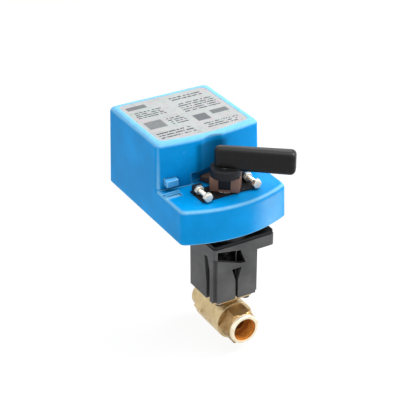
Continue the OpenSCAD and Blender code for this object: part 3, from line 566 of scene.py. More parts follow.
class Finish(Enum):
    """The finishes of this valve."""

    # The second colour of each plastic is its painted edge highlight, also used for its scuffs.
    BLUE = HousingPlastic("blue_housing", (0.0, 0.245, 0.60), (0.26, 0.60, 0.82), rough=0.40, edge_radius=0.0014,
                          edge_highlight_share=0.7, grain=2600.0, sheen=0.06)
    BUTTON = Plastic("blue_button", (0.07, 0.38, 0.72), (0.50, 0.80, 0.95), rough=0.3, edge_radius=0.0010)
    # Near-black base plate, painted shade under the housing.
    BASE = Plastic("base_painted_shade", (0.008, 0.010, 0.014), (0.03, 0.036, 0.05), rough=0.55)
    GREY = Plastic("bracket_grey", (0.072, 0.072, 0.073), (0.15, 0.15, 0.155), rough=0.55, edge_radius=0.0006,
                   edge_highlight_share=0.5, mottle=0.35, sheen=0.3)
    BLACK = Plastic("black_plastic", (0.010, 0.010, 0.012), (0.05, 0.05, 0.055), rough=0.5, edge_radius=0.0004,
                    sheen=0.2)
    LEVER = Plastic("lever_black", (0.002, 0.002, 0.0025), (0.13, 0.13, 0.135), rough=0.38, edge_radius=0.0010,
                    edge_highlight_share=0.8, mottle=0.2, sheen=0.24)
    BROWN = CouplerPlastic("coupler_brown", (0.220, 0.120, 0.085), (0.32, 0.22, 0.17), rough=0.5, edge_radius=0.0006,
                           sheen=0.3)
    IVORY = Plastic("ivory_plastic", (0.72, 0.67, 0.55), (0.85, 0.82, 0.72), rough=0.4, edge_radius=0.0003)
    GEAR = Plastic("gear_white", (0.78, 0.78, 0.74), (0.9, 0.9, 0.88), rough=0.38, edge_radius=0.0002)
    SEAL = Plastic("seal_white", (0.82, 0.82, 0.79), (0.92, 0.92, 0.9), rough=0.45, edge_radius=0.0002)
    TERMINAL = Plastic("terminal_green", (0.03, 0.30, 0.12), (0.2, 0.5, 0.3), rough=0.4)
    SLEEVE = Plastic("capacitor_sleeve", (0.015, 0.02, 0.07), (0.1, 0.12, 0.2), rough=0.3)
    BRASS = Brass("brass_body", (0.68, 0.54, 0.31), (0.54, 0.41, 0.22), (0.24, 0.14, 0.055), cast=0.55)
    # A darker copy of the brass for the connector's hexagon and insert, painted shade.
    BRASS_SHADED_END = Brass("brass_connector_shaded", (0.42, 0.265, 0.115), (0.25, 0.15, 0.055), (0.13, 0.06, 0.018), cast=0.15)
    BORE = Brass("brass_bore", (0.66, 0.26, 0.045), (0.46, 0.16, 0.024), (0.22, 0.07, 0.014), cast=0.1, rough=0.5)
    # A paler copy of the brass for the port's face, a painted highlight.
    BRASS_LIT_RIM = Brass("brass_rim_highlight", (0.90, 0.84, 0.68), (0.80, 0.70, 0.50), (0.44, 0.31, 0.16), cast=0.1, rough=0.5)
    ZINC = Steel("zinc_plated", (0.80, 0.76, 0.66), rough=0.42)
    STEEL = Steel("turned_steel", (0.56, 0.56, 0.56), rough=0.25, stretch=(1.0, 1.0, 20.0))
    SHEET = Steel("sheet_steel", (0.50, 0.51, 0.53), rough=0.35, stretch=(8.0, 1.0, 1.0))
    OXIDE = Steel("oxide_steel", (0.10, 0.095, 0.09), rough=0.4)
    BALL = Steel("ball_chrome", (0.75, 0.75, 0.76), rough=0.1, stretch=(1.0, 6.0, 1.0))
    RUBBER = Rubber("seal_black", (0.012, 0.012, 0.012))
    CARD = CircuitCard("circuit_card")
    LABEL = PrintedLabel("printed_label", (0.34, 0.35, 0.35), (0.02, 0.024, 0.035), (
        Bar(-0.029, 0.130, 0.0090, 0.0032), Bar(-0.024, 0.116, 0.0130, 0.0068, 1.0, 4),
        Bar(0.018, 0.131, 0.0150, 0.0040, 1.0, 2), Bar(0.020, 0.112, 0.0170, 0.0096, 1.0, 5),
        Bar(-0.030, 0.094, 0.0080, 0.0070, 0.65), Bar(-0.010, 0.094, 0.0075, 0.0072, 1.0, 4),
        Bar(0.029, 0.092, 0.0080, 0.0036), Bar(0.010, 0.088, 0.0060, 0.0060, 0.8),
        Bar(-0.022, 0.074, 0.0160, 0.0062, 1.0, 3), Bar(0.021, 0.073, 0.0160, 0.0052, 1.0, 3)))

    def material(self) -> bpy.types.Material:
        """Finds the material, which is drawn at its first use.

        Returns:
            The material.
        """
        name = "look_" + self.value.name
        if name not in bpy.data.materials:
            self.value.make()
        return bpy.data.materials[name]


# ---- surfaces


@dataclass(frozen=True)
class Surface:
    """A grid of points (rows, columns, 3) whose columns are joined round, and the number of its finish."""

    points: Grid
    close_rows: bool = False
    skin: int = 0


def grid_faces(rows: int, columns: int, close_rows: bool) -> Grid:
    """Quads of a grid whose last column is joined to the first, from index arithmetic on whole arrays.

    Args:
        rows: points along the first parameter.
        columns: points along the second parameter.
        close_rows: joins the last row to the first too.

    Returns:
        Array of quads with four vertex numbers each.
    """
    i = np.arange(rows if close_rows else rows - 1)[:, None]
    j = np.arange(columns)[None, :]
    below, right = (i + 1) % rows, (j + 1) % columns
    corners = (i * columns + j, below * columns + j, below * columns + right, i * columns + right)
    return np.stack(corners, -1).reshape(-1, 4)


def weighted_normals(mesh: bpy.types.Mesh, limit: float) -> None:
    """Gives each face corner the mean normal of the faces round its vertex, weighted by their areas.

    Only faces within the limit angle of the corner's own face count, so flat faces stay flat and roundings shade
    smoothly between them.

    Args:
        mesh: the mesh, with merged vertices.
        limit: the angle in degrees.
    """
    faces = mesh.polygons
    vertex, count = np.empty(len(mesh.loops), np.int64), np.empty(len(faces), np.int64)
    area, normal = np.empty(len(faces)), np.empty((len(faces), 3))
    for items, attribute, values in ((mesh.loops, "vertex_index", vertex), (faces, "loop_total", count),
                                     (faces, "area", area), (faces, "normal", normal.ravel())):
        items.foreach_get(attribute, values)
    face = np.repeat(np.arange(len(faces)), count)
    order = np.argsort(vertex, kind="stable")
    sorted_vertex = vertex[order]
    start = np.searchsorted(sorted_vertex, vertex)
    degree = np.searchsorted(sorted_vertex, vertex, side="right") - start
    owner = np.repeat(np.arange(len(vertex)), degree)
    step = np.arange(len(owner)) - np.repeat(np.cumsum(degree) - degree, degree)
    other = face[order[np.repeat(start, degree) + step]]
    near = np.einsum("ij,ij->i", normal[face[owner]], normal[other]) > math.cos(math.radians(limit))
    weight = (area[other] * near)[:, None] * normal[other]
    total = np.zeros((len(vertex), 3))
    np.add.at(total, owner, weight)
    total /= np.maximum(np.linalg.norm(total, axis=1, keepdims=True), 1e-20)
    mesh.shade_smooth()
    mesh.normals_split_custom_set(total.tolist())


def settle(mesh: bpy.types.Mesh, sharp: float, outward: bool) -> None:
    """Merges doubles, drops empty faces and sets the shading normals.

    Args:
        mesh: the mesh.
        sharp: angle in degrees above which an edge stays crisp.
        outward: turns all faces outwards first.
    """
    work = bmesh.new()
    work.from_mesh(mesh)
    bmesh.ops.remove_doubles(work, verts=work.verts, dist=WELD)
    bmesh.ops.dissolve_degenerate(work, dist=SLIVER, edges=work.edges)
    if outward:
        bmesh.ops.recalc_face_normals(work, faces=work.faces)
    work.to_mesh(mesh)
    work.free()
    mesh.update()
    weighted_normals(mesh, sharp)


def linked(name: str, data: bpy.types.ID) -> bpy.types.Object:
    """Makes an object and links it into the scene.

    Args:
        name: the object's name.
        data: its mesh, lamp or camera.

    Returns:
        The object.
    """
    made = bpy.data.objects.new(name, data)
    bpy.context.scene.collection.objects.link(made)
    return made


class Frame:
    """The CAD frame that the pieces are dressed on."""

    def __init__(self, loaded: dict) -> None:
        """Reads the nodes, their bodies and their material slots.
        """
        self.nodes: dict[str, bpy.types.Object] = loaded["nodes"]
        record = loaded["record"]
        self.slots = {part["node"]: part["material_slot"] for part in record["subparts"]}
        self.bodies = {node: body for body, nodes in record["behaviour"]["bodies"].items() for node in nodes}
        self.done: set[str] = set()

    def enter(self, name: str, mesh: bpy.types.Mesh, node: str) -> None:
        """Makes the object of a finished mesh, which rides on a node's body and stands for the node.

        Args:
            name: the piece's name.
            mesh: its mesh.
            node: the node.
        """
        piece = linked(name, mesh)
        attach(piece, self.bodies[node])
        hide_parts(node)
        self.done.add(node)
        log.info("%s: %d faces on %s", name, len(mesh.polygons), self.bodies[node])

    def piece(self, name: str, node: str, surfaces: Iterable[Surface], *finishes: Finish, sharp: float = 35.0) -> None:
        """Puts grid surfaces into one mesh object.

        Args:
            name: the piece's name.
            node: the node that it stands for.
            surfaces: the grids.
            finishes: its finishes, in the order of the surfaces' skin numbers.
            sharp: angle in degrees above which an edge stays crisp.
        """
        points, faces, skins, start = [], [], [], 0
        for surface in surfaces:
            rows, columns, _ = surface.points.shape
            points.append(surface.points.reshape(-1, 3))
            faces.append(grid_faces(rows, columns, surface.close_rows) + start)
            skins.append(np.full(len(faces[-1]), surface.skin))
            start += rows * columns
        mesh = bpy.data.meshes.new(name)
        mesh.from_pydata(np.concatenate(points).tolist(), [], np.concatenate(faces).tolist())
        for finish in finishes:
            mesh.materials.append(finish.material())
        mesh.polygons.foreach_set("material_index", np.concatenate(skins).astype(np.int32))
        settle(mesh, sharp, True)
        self.enter(name, mesh, node)

    def smooth(self, finish: Finish, *nodes: str, sharp: float = 30.0) -> None:
        """Copies nodes, merges their loose triangles and shades their curved faces smoothly.

        Args:
            finish: the nodes' finish.
            nodes: the nodes.
            sharp: angle in degrees above which an edge stays crisp.
        """
        for node in nodes:
            mesh = self.nodes[node].data.copy()
            mesh.name = node + "_skin"
            settle(mesh, sharp, False)
            mesh.materials.clear()
            mesh.materials.append(finish.material())
            self.enter(node + "_skin", mesh, node)

    def plain(self, finish: Finish, *nodes: str) -> None:
        """Gives flat-faced nodes their finish and keeps their meshes.

        Args:
            finish: the nodes' finish.
            nodes: the nodes.
        """
        for node in nodes:
            mesh = self.nodes[node].data
            mesh.materials.clear()
            mesh.materials.append(finish.material())
            self.done.add(node)


RadiusLaw: TypeAlias = Callable[[Grid, Grid, Grid], Grid]


def lathe(profile: Sequence[Pair], law: RadiusLaw | None = None, steps: int = 96) -> Grid:
    """Surface of revolution about +Z as a grid.

    A point is (r cos a, r sin a, t), with r and t from the profile. A law may change r for each angle a, place t and
    profile radius r, as a hexagon's flats or a thread do.

    Args:
        profile: pairs of radius and place along the axis, in millimetres.
        law: function of (r, a, t) that gives the new radius.
        steps: points round the axis.

    Returns:
        Array of (profile points, steps, 3) in metres.
    """
    r, t = (np.array(values, float)[:, None] for values in zip(*profile))
    a = np.arange(steps)[None, :] * 2 * np.pi / steps
    r, t, a = np.broadcast_arrays(r, t, a)
    if law is not None:
        r = law(r, a, t)
    return np.stack([r * np.cos(a), r * np.sin(a), t], -1) * MILLIMETRE


def hexed(flats: float, low: float = -1e9, high: float = 1e9) -> RadiusLaw:
    """Radius law of a hexagon bar with a corner on the first axis.

    It is the smaller of r and half the flats over the cosine of the angle to the nearest flat.

    Args:
        flats: width across the flats in millimetres.
        low: place along the axis where the hexagon starts.
        high: place where it ends.

    Returns:
        The law.
    """

    def law(r: Grid, a: Grid, t: Grid) -> Grid:
        """Cuts r to the hexagon."""
        off = np.mod(a, np.pi / 3) - np.pi / 6
        return np.where((t >= low) & (t <= high), np.minimum(r, flats / 2 / np.cos(off)), r)

    return law


def threaded(depth: float, pitch: float, low: float, high: float) -> RadiusLaw:
    """Radius law of a thread: r less depth times a triangle wave of t over pitch less the turn.

    Args:
        depth: the thread's depth in millimetres.
        pitch: its pitch.
        low: place along the axis where it starts to fade in.
        high: place where it has faded out.

    Returns:
        The law.
    """

    def law(r: Grid, a: Grid, t: Grid) -> Grid:
        """Cuts the thread into r, with the wave from 0 to 1 and back in each pitch."""
        fade = np.clip((t - low) / pitch, 0, 1) * np.clip((high - t) / pitch, 0, 1)
        return r - depth * np.abs(np.mod(t / pitch - a / (2 * np.pi), 1.0) * 2 - 1) * fade

    return law


def span(r0: float, t0: float, r1: float, t1: float, count: int) -> list[Pair]:
    """Profile points on a straight line, both ends kept."""
    share = np.linspace(0, 1, count)
    return list(zip((r0 + (r1 - r0) * share).tolist(), (t0 + (t1 - t0) * share).tolist()))


def moved(grid: Grid, matrix: Matrix) -> Grid:
    """The grid's points moved by a 4 by 4 matrix."""
    m = np.array(matrix)
    return grid @ m[:3, :3].T + m[:3, 3]


def shift(x: float, y: float, z: float) -> Matrix:
    """Move by millimetres."""
    return Matrix.Translation([value * MILLIMETRE for value in (x, y, z)])


ALONG_Y = Matrix(((1, 0, 0, 0), (0, 0, 1, 0), (0, -1, 0, 0), (0, 0, 0, 1)))
AT_STEM = Matrix.Translation((0, STEM_Y, 0))
AT_LEVER = AT_STEM @ Matrix.Rotation(-LEVER_TURN, 4, "Z")


def tube_along(path: Grid, r: float, steps: int = 10) -> Grid:
    """Round tube along a path that nowhere runs along +Y.

    Each ring is centre + r (cos a * side + sin a * up), where side is the path's direction crossed with +Y and up
    completes the three.

    Args:
        path: points of the centre line.
        r: the tube's radius.
        steps: points round the tube.

    Returns:
        Array of (points, steps, 3).
    """
    along = np.gradient(path, axis=0)
    along /= np.linalg.norm(along, axis=1, keepdims=True)
    side = np.cross(along, np.array([0.0, 1.0, 0.0]))
    side /= np.linalg.norm(side, axis=1, keepdims=True)
    up = np.cross(side, along)
    a = np.arange(steps) * 2 * np.pi / steps
    return path[:, None] + r * (np.cos(a)[None, :, None] * side[:, None] + np.sin(a)[None, :, None] * up[:, None])


def rounded_bar(start: float, end: float, widths: Pair, low: float, high: float, r: float,
                arc: int = 6) -> Grid:
    """Bar along +X with all its edges rounded.

    Each section is a rectangle with corner arcs of radius r less an inset. The inset is r (1 - cos b), where b goes
    from a quarter turn at either end to zero at r from it, and the place is the end plus r (1 - sin b).

    Args:
        start: lowest x in millimetres.
        end: highest x.
        widths: widths at both ends.
        low: lowest z.
        high: highest z.
        r: radius of the edges.
        arc: steps of each quarter arc.

    Returns:
        Array of (stations, section points, 3) in metres.
    """
    b = np.linspace(np.pi / 2, 0, arc + 1)
    x = np.concatenate([start + r * (1 - np.sin(b)), np.linspace(start + r, end - r, 10)[1:-1],
                        end - r * (1 - np.sin(b[::-1]))])
    inset = np.concatenate([r * (1 - np.cos(b)), np.zeros(8), r * (1 - np.cos(b[::-1]))])
    quarter = np.arange(4)
    angle = (quarter[:, None] * np.pi / 2 + np.linspace(0, np.pi / 2, arc + 1)[None]).ravel()
    middle = np.repeat((quarter + 0.5) * np.pi / 2, arc + 1)
    reach = np.maximum(r - inset, 1e-3)[:, None]
    half_width = np.interp(x, (start, end), widths)[:, None] / 2
    y = np.sign(np.cos(middle))[None] * (half_width - r) + reach * np.cos(angle)[None]
    z = np.sign(np.sin(middle))[None] * ((high - low) / 2 - r) + reach * np.sin(angle)[None] + (low + high) / 2
    return np.stack([np.broadcast_to(x[:, None], y.shape), y, z], -1) * MILLIMETRE


def capped(grid: Grid) -> list[Surface]:
    """A tube-like grid with each end closed by a fan to the middle of its last ring."""
    fans = [np.stack([grid[k], np.broadcast_to(grid[k].mean(0), grid[k].shape)]) for k in (0, -1)]
    return [Surface(points) for points in (grid, *fans)]


# ---- the valve


@dataclass(frozen=True)
class Assembly:
    """A sub-assembly: build() makes its new pieces, and dress() finishes the CAD nodes that are kept."""

    frame: Frame

    def build(self) -> None:
        """Makes no new piece unless a sub-assembly has its own."""

    def dress(self) -> None:
        """Gives the kept nodes their finishes."""


@dataclass(frozen=True)
class ConnectorSizes:
    """Sizes of the end connector in millimetres, from the port face inwards."""

    nose_r: float = 13.0
    nose: float = 3.0
    hex_flats: float = 27.0
    hex_end: float = 16.5
    insert_r: float = 11.98
    insert_end: float = 20.5
    port_r: float = 9.3
    port_depth: float = 11.0
    flow_r: float = 6.0
    thread_depth: float = 0.95
    thread_pitch: float = 1.814
    chamfer: float = 0.7
    flat_lead: float = 0.1
    corner_cut: float = 0.3
    insert_lead: float = 0.5
    thread_end: float = 0.3


@dataclass(frozen=True)
class Valve(Assembly):
    """Brass ball valve under the column: body, end connector, ball and stem."""

    sizes: ConnectorSizes = ConnectorSizes()

    def build(self) -> None:
        """Builds the end connector as a turned hexagon with a cut thread."""
        s = self.sizes
        corner = s.hex_flats / 2 / math.cos(math.pi / 6)
        flat = s.hex_flats / 2 - s.flat_lead
        thread_r = s.port_r + s.thread_depth
        nose = (span(thread_r, 0, s.nose_r - s.chamfer, 0, 3)
                + span(s.nose_r - s.chamfer / 2, s.chamfer / 4, s.nose_r, s.chamfer, 3) + [(s.nose_r, s.nose)])
        skin = (nose + [(flat, s.nose)]
                + span(corner + s.corner_cut, s.nose + 1.3, corner + s.corner_cut, s.hex_end - 1.0, 4)
                + span(flat, s.hex_end, s.insert_r, s.hex_end, 2)
                + span(s.insert_r, s.insert_end - s.insert_lead, s.insert_r - s.insert_lead, s.insert_end, 2)
                + [(s.flow_r, s.insert_end)])
        bore = ([(s.flow_r, s.insert_end), (s.flow_r, s.port_depth), (s.port_r, s.port_depth)]
                + span(thread_r, s.port_depth - s.thread_end, thread_r, 0.0, 100))
        cut = threaded(s.thread_depth, s.thread_pitch, 0.0, s.port_depth - s.thread_end)

        def bore_law(r: Grid, a: Grid, t: Grid) -> Grid:
            """Threads the wide part of the bore only."""
            return np.where(r > s.port_r + 0.01, cut(r, a, t), r)

        outer = moved(lathe(skin, hexed(s.hex_flats, s.nose + 0.01, s.hex_end - 0.01), steps=144), ALONG_Y)
        inner = moved(lathe(bore, bore_law, steps=144), ALONG_Y)
        rows = len(nose)
        # The port's face takes the paler brass of the painted highlight, the hexagon and insert the darker brass of
        # the painted shade.
        surfaces = (Surface(outer[:rows], skin=2), Surface(outer[rows - 1:]), Surface(inner, skin=1))
        self.frame.piece("end_connector_turned", "end_connector", surfaces, Finish.BRASS_SHADED_END, Finish.BORE,
                         Finish.BRASS_LIT_RIM, sharp=25.0)

    def dress(self) -> None:
        """Gives the valve's other pieces their finishes."""
        smooth = self.frame.smooth
        smooth(Finish.BRASS, "valve_body", "packing_nut")
        smooth(Finish.BALL, "ball")
        smooth(Finish.STEEL, "stem")
        smooth(Finish.SEAL, "ball_seats", "thrust_washer", "stem_packing")
        smooth(Finish.RUBBER, "connector_seal")
        smooth(Finish.OXIDE, "pad_screws")


@dataclass(frozen=True)
class Column(Assembly):
    """Grey bracket column with the coupling and shaft inside and the plate on its flange, whose black stands for the
    shade under the housing.
    """

    def dress(self) -> None:
        """Gives the column's pieces their finishes."""
        # The adapter plate is black: a dark sheet that stands for the shade under the housing's overhang.
        for finish, node in ((Finish.GREY, "column_bracket"), (Finish.BLACK, "adapter_plate"),
                             (Finish.ZINC, "flange_screws"), (Finish.BLACK, "stem_coupling"),
                             (Finish.STEEL, "drive_shaft")):
            self.frame.smooth(finish, node, sharp=22.0)


# ---- the drive


@dataclass(frozen=True)
class SpringSizes:
    """Sizes of the release spring in metres."""

    x: float = -0.0375
    z: float = 0.1235
    start: float = 0.06595
    end: float = 0.0747
    r: float = 0.00192
    wire: float = 0.00027
    turns: float = 7.0
    steps_a_turn: int = 28


@dataclass(frozen=True)
class Housing(Assembly):
    """Blue housing with its base, label, release button and the drive inside."""

    spring: SpringSizes = SpringSizes()

    def build(self) -> None:
        """Builds the coil of the release spring.

        The path is the coil's radius times (cos w, sin w) across and a steady step along +Y, with w from zero to
        the number of turns.
        """
        s = self.spring
        w = np.linspace(0, 2 * np.pi * s.turns, int(s.steps_a_turn * s.turns))
        y = np.linspace(s.start + s.wire, s.end - s.wire, len(w))
        path = np.stack([s.x + s.r * np.cos(w), y, s.z + s.r * np.sin(w)], -1)
        self.frame.piece("release_spring_coil", "release_spring", capped(tube_along(path, s.wire)), Finish.STEEL)

    def dress(self) -> None:
        """Gives the housing's pieces their finishes."""
        smooth, plain = self.frame.smooth, self.frame.plain
        smooth(Finish.BLUE, "housing_cover", sharp=42.0)
        # The base plate is near black, painted shade under the housing.
        smooth(Finish.BASE, "base_plate")
        smooth(Finish.LABEL, "label_plate")
        plain(Finish.BUTTON, "release_button")
        plain(Finish.CARD, "circuit_board")
        plain(Finish.TERMINAL, "terminal_block")
        smooth(Finish.IVORY, "lower_bush", "upper_bush")
        smooth(Finish.STEEL, "output_sleeve", "gear_posts", "gear_arbors")
        smooth(Finish.SHEET, "gear_plate", "motor_case")
        smooth(Finish.ZINC, "motor_screws", "cover_screws")
        smooth(Finish.SLEEVE, "capacitors")
        smooth(Finish.STEEL, "motor_rotor")
        smooth(Finish.GEAR, "output_gear", "third_gear", "second_gear", "first_gear", sharp=20.0)


@dataclass(frozen=True)
class StopSizes:
    """Sizes of a stop screw and its lock nut in millimetres from the stem's axis."""

    x: float = 22.6
    z: float = 121.4
    shank_r: float = 2.0
    tip: float = 9.3
    head_from: float = -13.0
    head_to: float = -9.5
    nut_from: float = 1.0
    nut_to: float = 4.5
    flats: float = 7.0
    chamfer: float = 0.25
    lead: float = 0.5
    tip_chamfer: float = 0.45
    nut_gap: float = 0.02
    steps_a_pitch: int = 9
    pitch: float = 0.7
    thread_depth: float = 0.36


@dataclass(frozen=True)
class Stops(Assembly):
    """Stop bracket on the deck with the two stop screws and their lock nuts."""

    sizes: StopSizes = StopSizes()

    def build(self) -> None:
        """Builds both screws and both nuts with their threads and chamfers."""
        s = self.sizes
        corner = s.flats / 2 / math.cos(math.pi / 6)
        flat = s.flats / 2 - s.chamfer
        head = ([(AXIS, s.head_from)] + span(flat, s.head_from, corner, s.head_from + s.lead + 0.05, 3)
                + span(corner, s.head_to - 0.05, corner, s.head_to, 2) + [(s.shank_r, s.head_to)])
        rows = int((s.tip - s.head_to) / s.pitch * s.steps_a_pitch)
        shank = (span(s.shank_r, s.head_to, s.shank_r, s.tip - s.lead, rows)
                 + [(s.shank_r - s.tip_chamfer, s.tip), (AXIS, s.tip)])
        hole = s.shank_r + s.nut_gap
        nut = ([(hole, s.nut_from)] + span(flat, s.nut_from, corner, s.nut_from + s.lead, 3)
               + span(corner, s.nut_to - s.lead, flat, s.nut_to, 3) + [(hole, s.nut_to)])
        cut = threaded(s.thread_depth, s.pitch, s.head_to + 0.8, s.tip - 0.3)
        screws, nuts = [], []
        for side in (-1, 1):
            place = AT_STEM @ shift(side * s.x, 0, s.z) @ ALONG_Y
            screws.append(Surface(moved(lathe(head, hexed(s.flats), steps=72), place)))
            screws.append(Surface(moved(lathe(shank, cut, steps=72), place)))
            nuts.append(Surface(moved(lathe(nut, hexed(s.flats), steps=72), place), close_rows=True))
        self.frame.piece("stop_screws_threaded", "stop_screws", screws, Finish.ZINC, sharp=25.0)
        self.frame.piece("stop_nuts_chamfered", "stop_nuts", nuts, Finish.ZINC, sharp=25.0)

    def dress(self) -> None:
        """Gives the bracket its finish."""
        self.frame.smooth(Finish.BLACK, "stop_bracket")


@dataclass(frozen=True)
class LeverSizes:
    """Sizes of the hand lever in millimetres, with +X along the handle from the stem's axis."""

    start: float = -9.0
    end: float = 56.0
    start_width: float = 10.0
    end_width: float = 13.0
    low: float = 135.9
    high: float = 155.9
    edge_r: float = 4.4
    hub_r: float = 12.4
    hub_low: float = 130.5
    hub_high: float = 138.4
    hub_lead: float = 0.5
    hub_round: float = 0.6
    bore_r: float = 5.02
    bore_end: float = 0.1


@dataclass(frozen=True)
class Lever(Assembly):
    """Black hand lever over the brown coupler."""

    sizes: LeverSizes = LeverSizes()

    def build(self) -> None:
        """Builds the round-edged handle and its hub with the bore."""
        s = self.sizes
        bar = rounded_bar(s.start, s.end, (s.start_width, s.end_width), s.low, s.high, s.edge_r)
        hub = [(s.bore_r, s.hub_low), (s.hub_r - s.hub_lead, s.hub_low), (s.hub_r, s.hub_low + s.hub_lead),
               (s.hub_r, s.hub_high - s.hub_round), (s.hub_r - s.hub_round, s.hub_high), (AXIS, s.hub_high),
               (AXIS, s.hub_high - s.bore_end), (s.bore_r, s.hub_high - s.bore_end)]
        surfaces = [Surface(moved(part.points, AT_LEVER)) for part in capped(bar)]
        surfaces.append(Surface(moved(lathe(hub), AT_LEVER), close_rows=True, skin=1))
        self.frame.piece("override_lever_moulded", "override_lever", surfaces, Finish.LEVER, Finish.BLACK, sharp=40.0)

    def dress(self) -> None:
        """Gives the coupler's pieces their finishes."""
        self.frame.smooth(Finish.BROWN, "coupler")
        self.frame.smooth(Finish.ZINC, "clamp_screw", "lever_set_screw")
        self.frame.plain(Finish.BLACK, "coupler_insert")


@dataclass(frozen=True)
class GlandSizes:
    """Sizes of the gland's cap nut in millimetres; start is the place of its front face along Y."""

    x: float = -24.0
    z: float = 105.0
    start: float = 152.0
    length: float = 15.0
    r: float = 11.5
    hole_r: float = 3.6
    inner_r: float = 9.55
    inner_length: float = 7.55
    ribs: int = 16
    rib_depth: float = 0.7
    dome: float = 5.0
    lip: float = 2.2
    lead: float = 0.4


@dataclass(frozen=True)
class Gland(Assembly):
    """Gland in the rear wall."""

    sizes: GlandSizes = GlandSizes()

    def build(self) -> None:
        """Builds the domed cap nut.

        Its radius is drawn in by the rib depth times a raised cosine of ribs times the angle, fading on the dome.
        """
        s = self.sizes
        turn = np.linspace(0, np.pi / 2, 7)
        neck, shoulder = s.hole_r + s.lip, s.length - s.dome
        dome = zip((neck + (s.r - neck) * np.cos(turn)).tolist(), (shoulder + s.dome * np.sin(turn)).tolist())
        profile = ([(s.hole_r, s.length), (s.hole_r, s.inner_length), (s.inner_r, s.inner_length), (s.inner_r, 0.0)]
                   + span(s.r - s.lead, 0.0, s.r, s.lead, 2) + span(s.r, 2 * s.lead, s.r, shoulder, 5) + list(dome))

        def ribbed(r: Grid, a: Grid, t: Grid) -> Grid:
            """Draws the ribs into the outer wall."""
            fade = np.clip((s.length - 1 - t) / 4, 0, 1) * (r > s.inner_r + 0.5)
            return r - s.rib_depth * fade * (0.5 + 0.5 * np.cos(s.ribs * a)) ** 3

        place = shift(s.x, s.start, s.z) @ ALONG_Y
        nut = Surface(moved(lathe(profile, ribbed, steps=192), place), close_rows=True)
        self.frame.piece("gland_nut_ribbed", "gland_nut", [nut], Finish.BLACK)

    def dress(self) -> None:
        """Gives the gland's other pieces their finishes."""
        self.frame.smooth(Finish.BLACK, "gland_body", "gland_locknut")
        self.frame.smooth(Finish.RUBBER, "gland_seal")


# ---- the picture


@dataclass(frozen=True)
class View:
    """Where the photograph was taken from: angles in degrees, lengths in millimetres."""

    turn: float = -30.28
    height: float = 29.55
    distance: float = 1018.1
    across: float = -21.93
    up: float = 18.03
    base: Triple = (0.0, 18.0, 87.0)
    focal_pixels: float = 1264.2
    width_pixels: float = 415.0


@dataclass(frozen=True)
class Lamp:
    """One soft lamp: its direction from the object, size in metres and power in watts."""

    name: str
    towards: Triple
    size: float
    power: float
    distance: float = 1.2


LAMPS = (Lamp("key_lamp", (1.0, -0.22, 0.85), 0.40, 13.0),
         Lamp("top_lamp", (0.1, -0.1, 1.0), 1.0, 11.0),
         Lamp("front_lamp", (-0.2, -1.0, 0.15), 0.8, 1.5),
         Lamp("left_lamp", (-1.0, -0.1, 0.8), 0.7, 3.5),
         Lamp("right_lamp", (1.0, -0.6, 0.2), 0.6, 2.5),
         Lamp("back_lamp", (0.44, 0.75, 0.49), 0.8, 3.0))


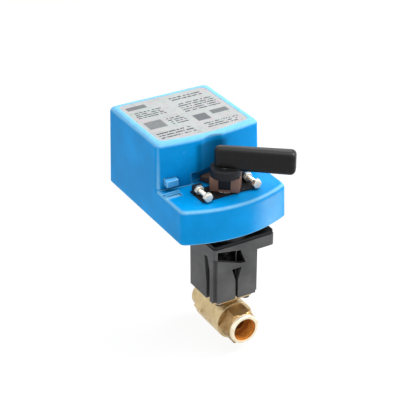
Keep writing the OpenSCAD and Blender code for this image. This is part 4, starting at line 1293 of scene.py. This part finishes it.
@dataclass(frozen=True)
class Studio:
    """Camera, lamps, white surrounding and floor, in metres; the sensor is in millimetres."""

    view: View = View()
    lamps: tuple[Lamp, ...] = LAMPS
    lit: Triple = (0.0, 0.07, 0.08)
    sensor: float = 36.0
    surrounding: float = 0.42
    floor_z: float = -0.021
    floor_side: float = 3.0
    floor_glow: float = 0.9

    def camera(self) -> None:
        """Places the camera from the view's angles."""
        v = self.view
        a, e = math.radians(v.turn), math.radians(v.height)
        back = Vector((math.sin(a) * math.cos(e), -math.cos(a) * math.cos(e), math.sin(e)))
        right = Vector((math.cos(a), math.sin(a), 0.0))
        up = back.cross(right)
        place = (right * v.across + up * v.up + back * v.distance + Vector(v.base)) * MILLIMETRE
        data = bpy.data.cameras.new("camera")
        data.sensor_width = self.sensor
        data.lens = v.focal_pixels / v.width_pixels * self.sensor
        data.clip_start = 0.05
        data.clip_end = 20.0
        camera = linked("camera", data)
        camera.matrix_world = Matrix.Translation(place) @ Matrix((right, up, back)).transposed().to_4x4()
        bpy.context.scene.camera = camera

    def light(self) -> None:
        """Places the lamps and a soft white surrounding."""
        for lamp in self.lamps:
            data = bpy.data.lights.new(lamp.name, "AREA")
            data.shape = "SQUARE"
            data.size = lamp.size
            data.energy = lamp.power
            towards = Vector(lamp.towards).normalized()
            place = Matrix.Translation(Vector(self.lit) + towards * lamp.distance)
            linked(lamp.name, data).matrix_world = place @ towards.to_track_quat("Z", "Y").to_matrix().to_4x4()
        g = Graph("studio", world=True)
        soft = g.node("ShaderNodeBackground", {}, {"Color": (0.95, 0.97, 1.0), "Strength": self.surrounding})
        white = g.node("ShaderNodeBackground", {}, {"Color": WHITE, "Strength": 1.0})
        g.close(g.node("ShaderNodeMixShader", {}, {0: g.backdrop(), 1: soft, 2: white}))
        bpy.context.scene.world = g.owner

    def floor(self) -> None:
        """Lays a pale floor just under the valve that turns white to the camera away from the shadow."""
        g = Graph("pale_floor")
        shade = g.node("ShaderNodeBsdfDiffuse", {}, {"Color": (0.93, 0.93, 0.93)})
        glow = g.node("ShaderNodeEmission", {}, {"Color": WHITE, "Strength": 1.0})
        g.close(g.node("ShaderNodeMixShader", {}, {0: g.backdrop() * self.floor_glow, 1: shade, 2: glow}))
        mesh = bpy.data.meshes.new("floor")
        side = self.floor_side
        mesh.from_pydata([(-side, -side, 0), (side, -side, 0), (side, side, 0), (-side, side, 0)], [], [(0, 1, 2, 3)])
        mesh.materials.append(g.owner)
        floor = linked("floor", mesh)
        floor.location = (0.0, 0.0, self.floor_z)

    def build(self) -> None:
        """Builds the camera, lamps and floor."""
        self.camera()
        self.light()
        self.floor()
        bpy.context.scene.view_settings.view_transform = "Standard"


# ---- everything


def main() -> None:
    """Loads the frame, builds and dresses each sub-assembly, and sets up the picture."""
    frame = Frame(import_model())
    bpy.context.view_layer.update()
    log.info("frame: %d nodes", len(frame.nodes))
    for part in (Valve(frame), Column(frame), Housing(frame), Stops(frame), Lever(frame), Gland(frame)):
        part.build()
        part.dress()
        log.info("%s done", type(part).__name__.lower())
    log.info("nodes without a finish: %s", sorted(set(frame.nodes) - frame.done))
    Studio().build()


if __name__ == "__main__":
    main()
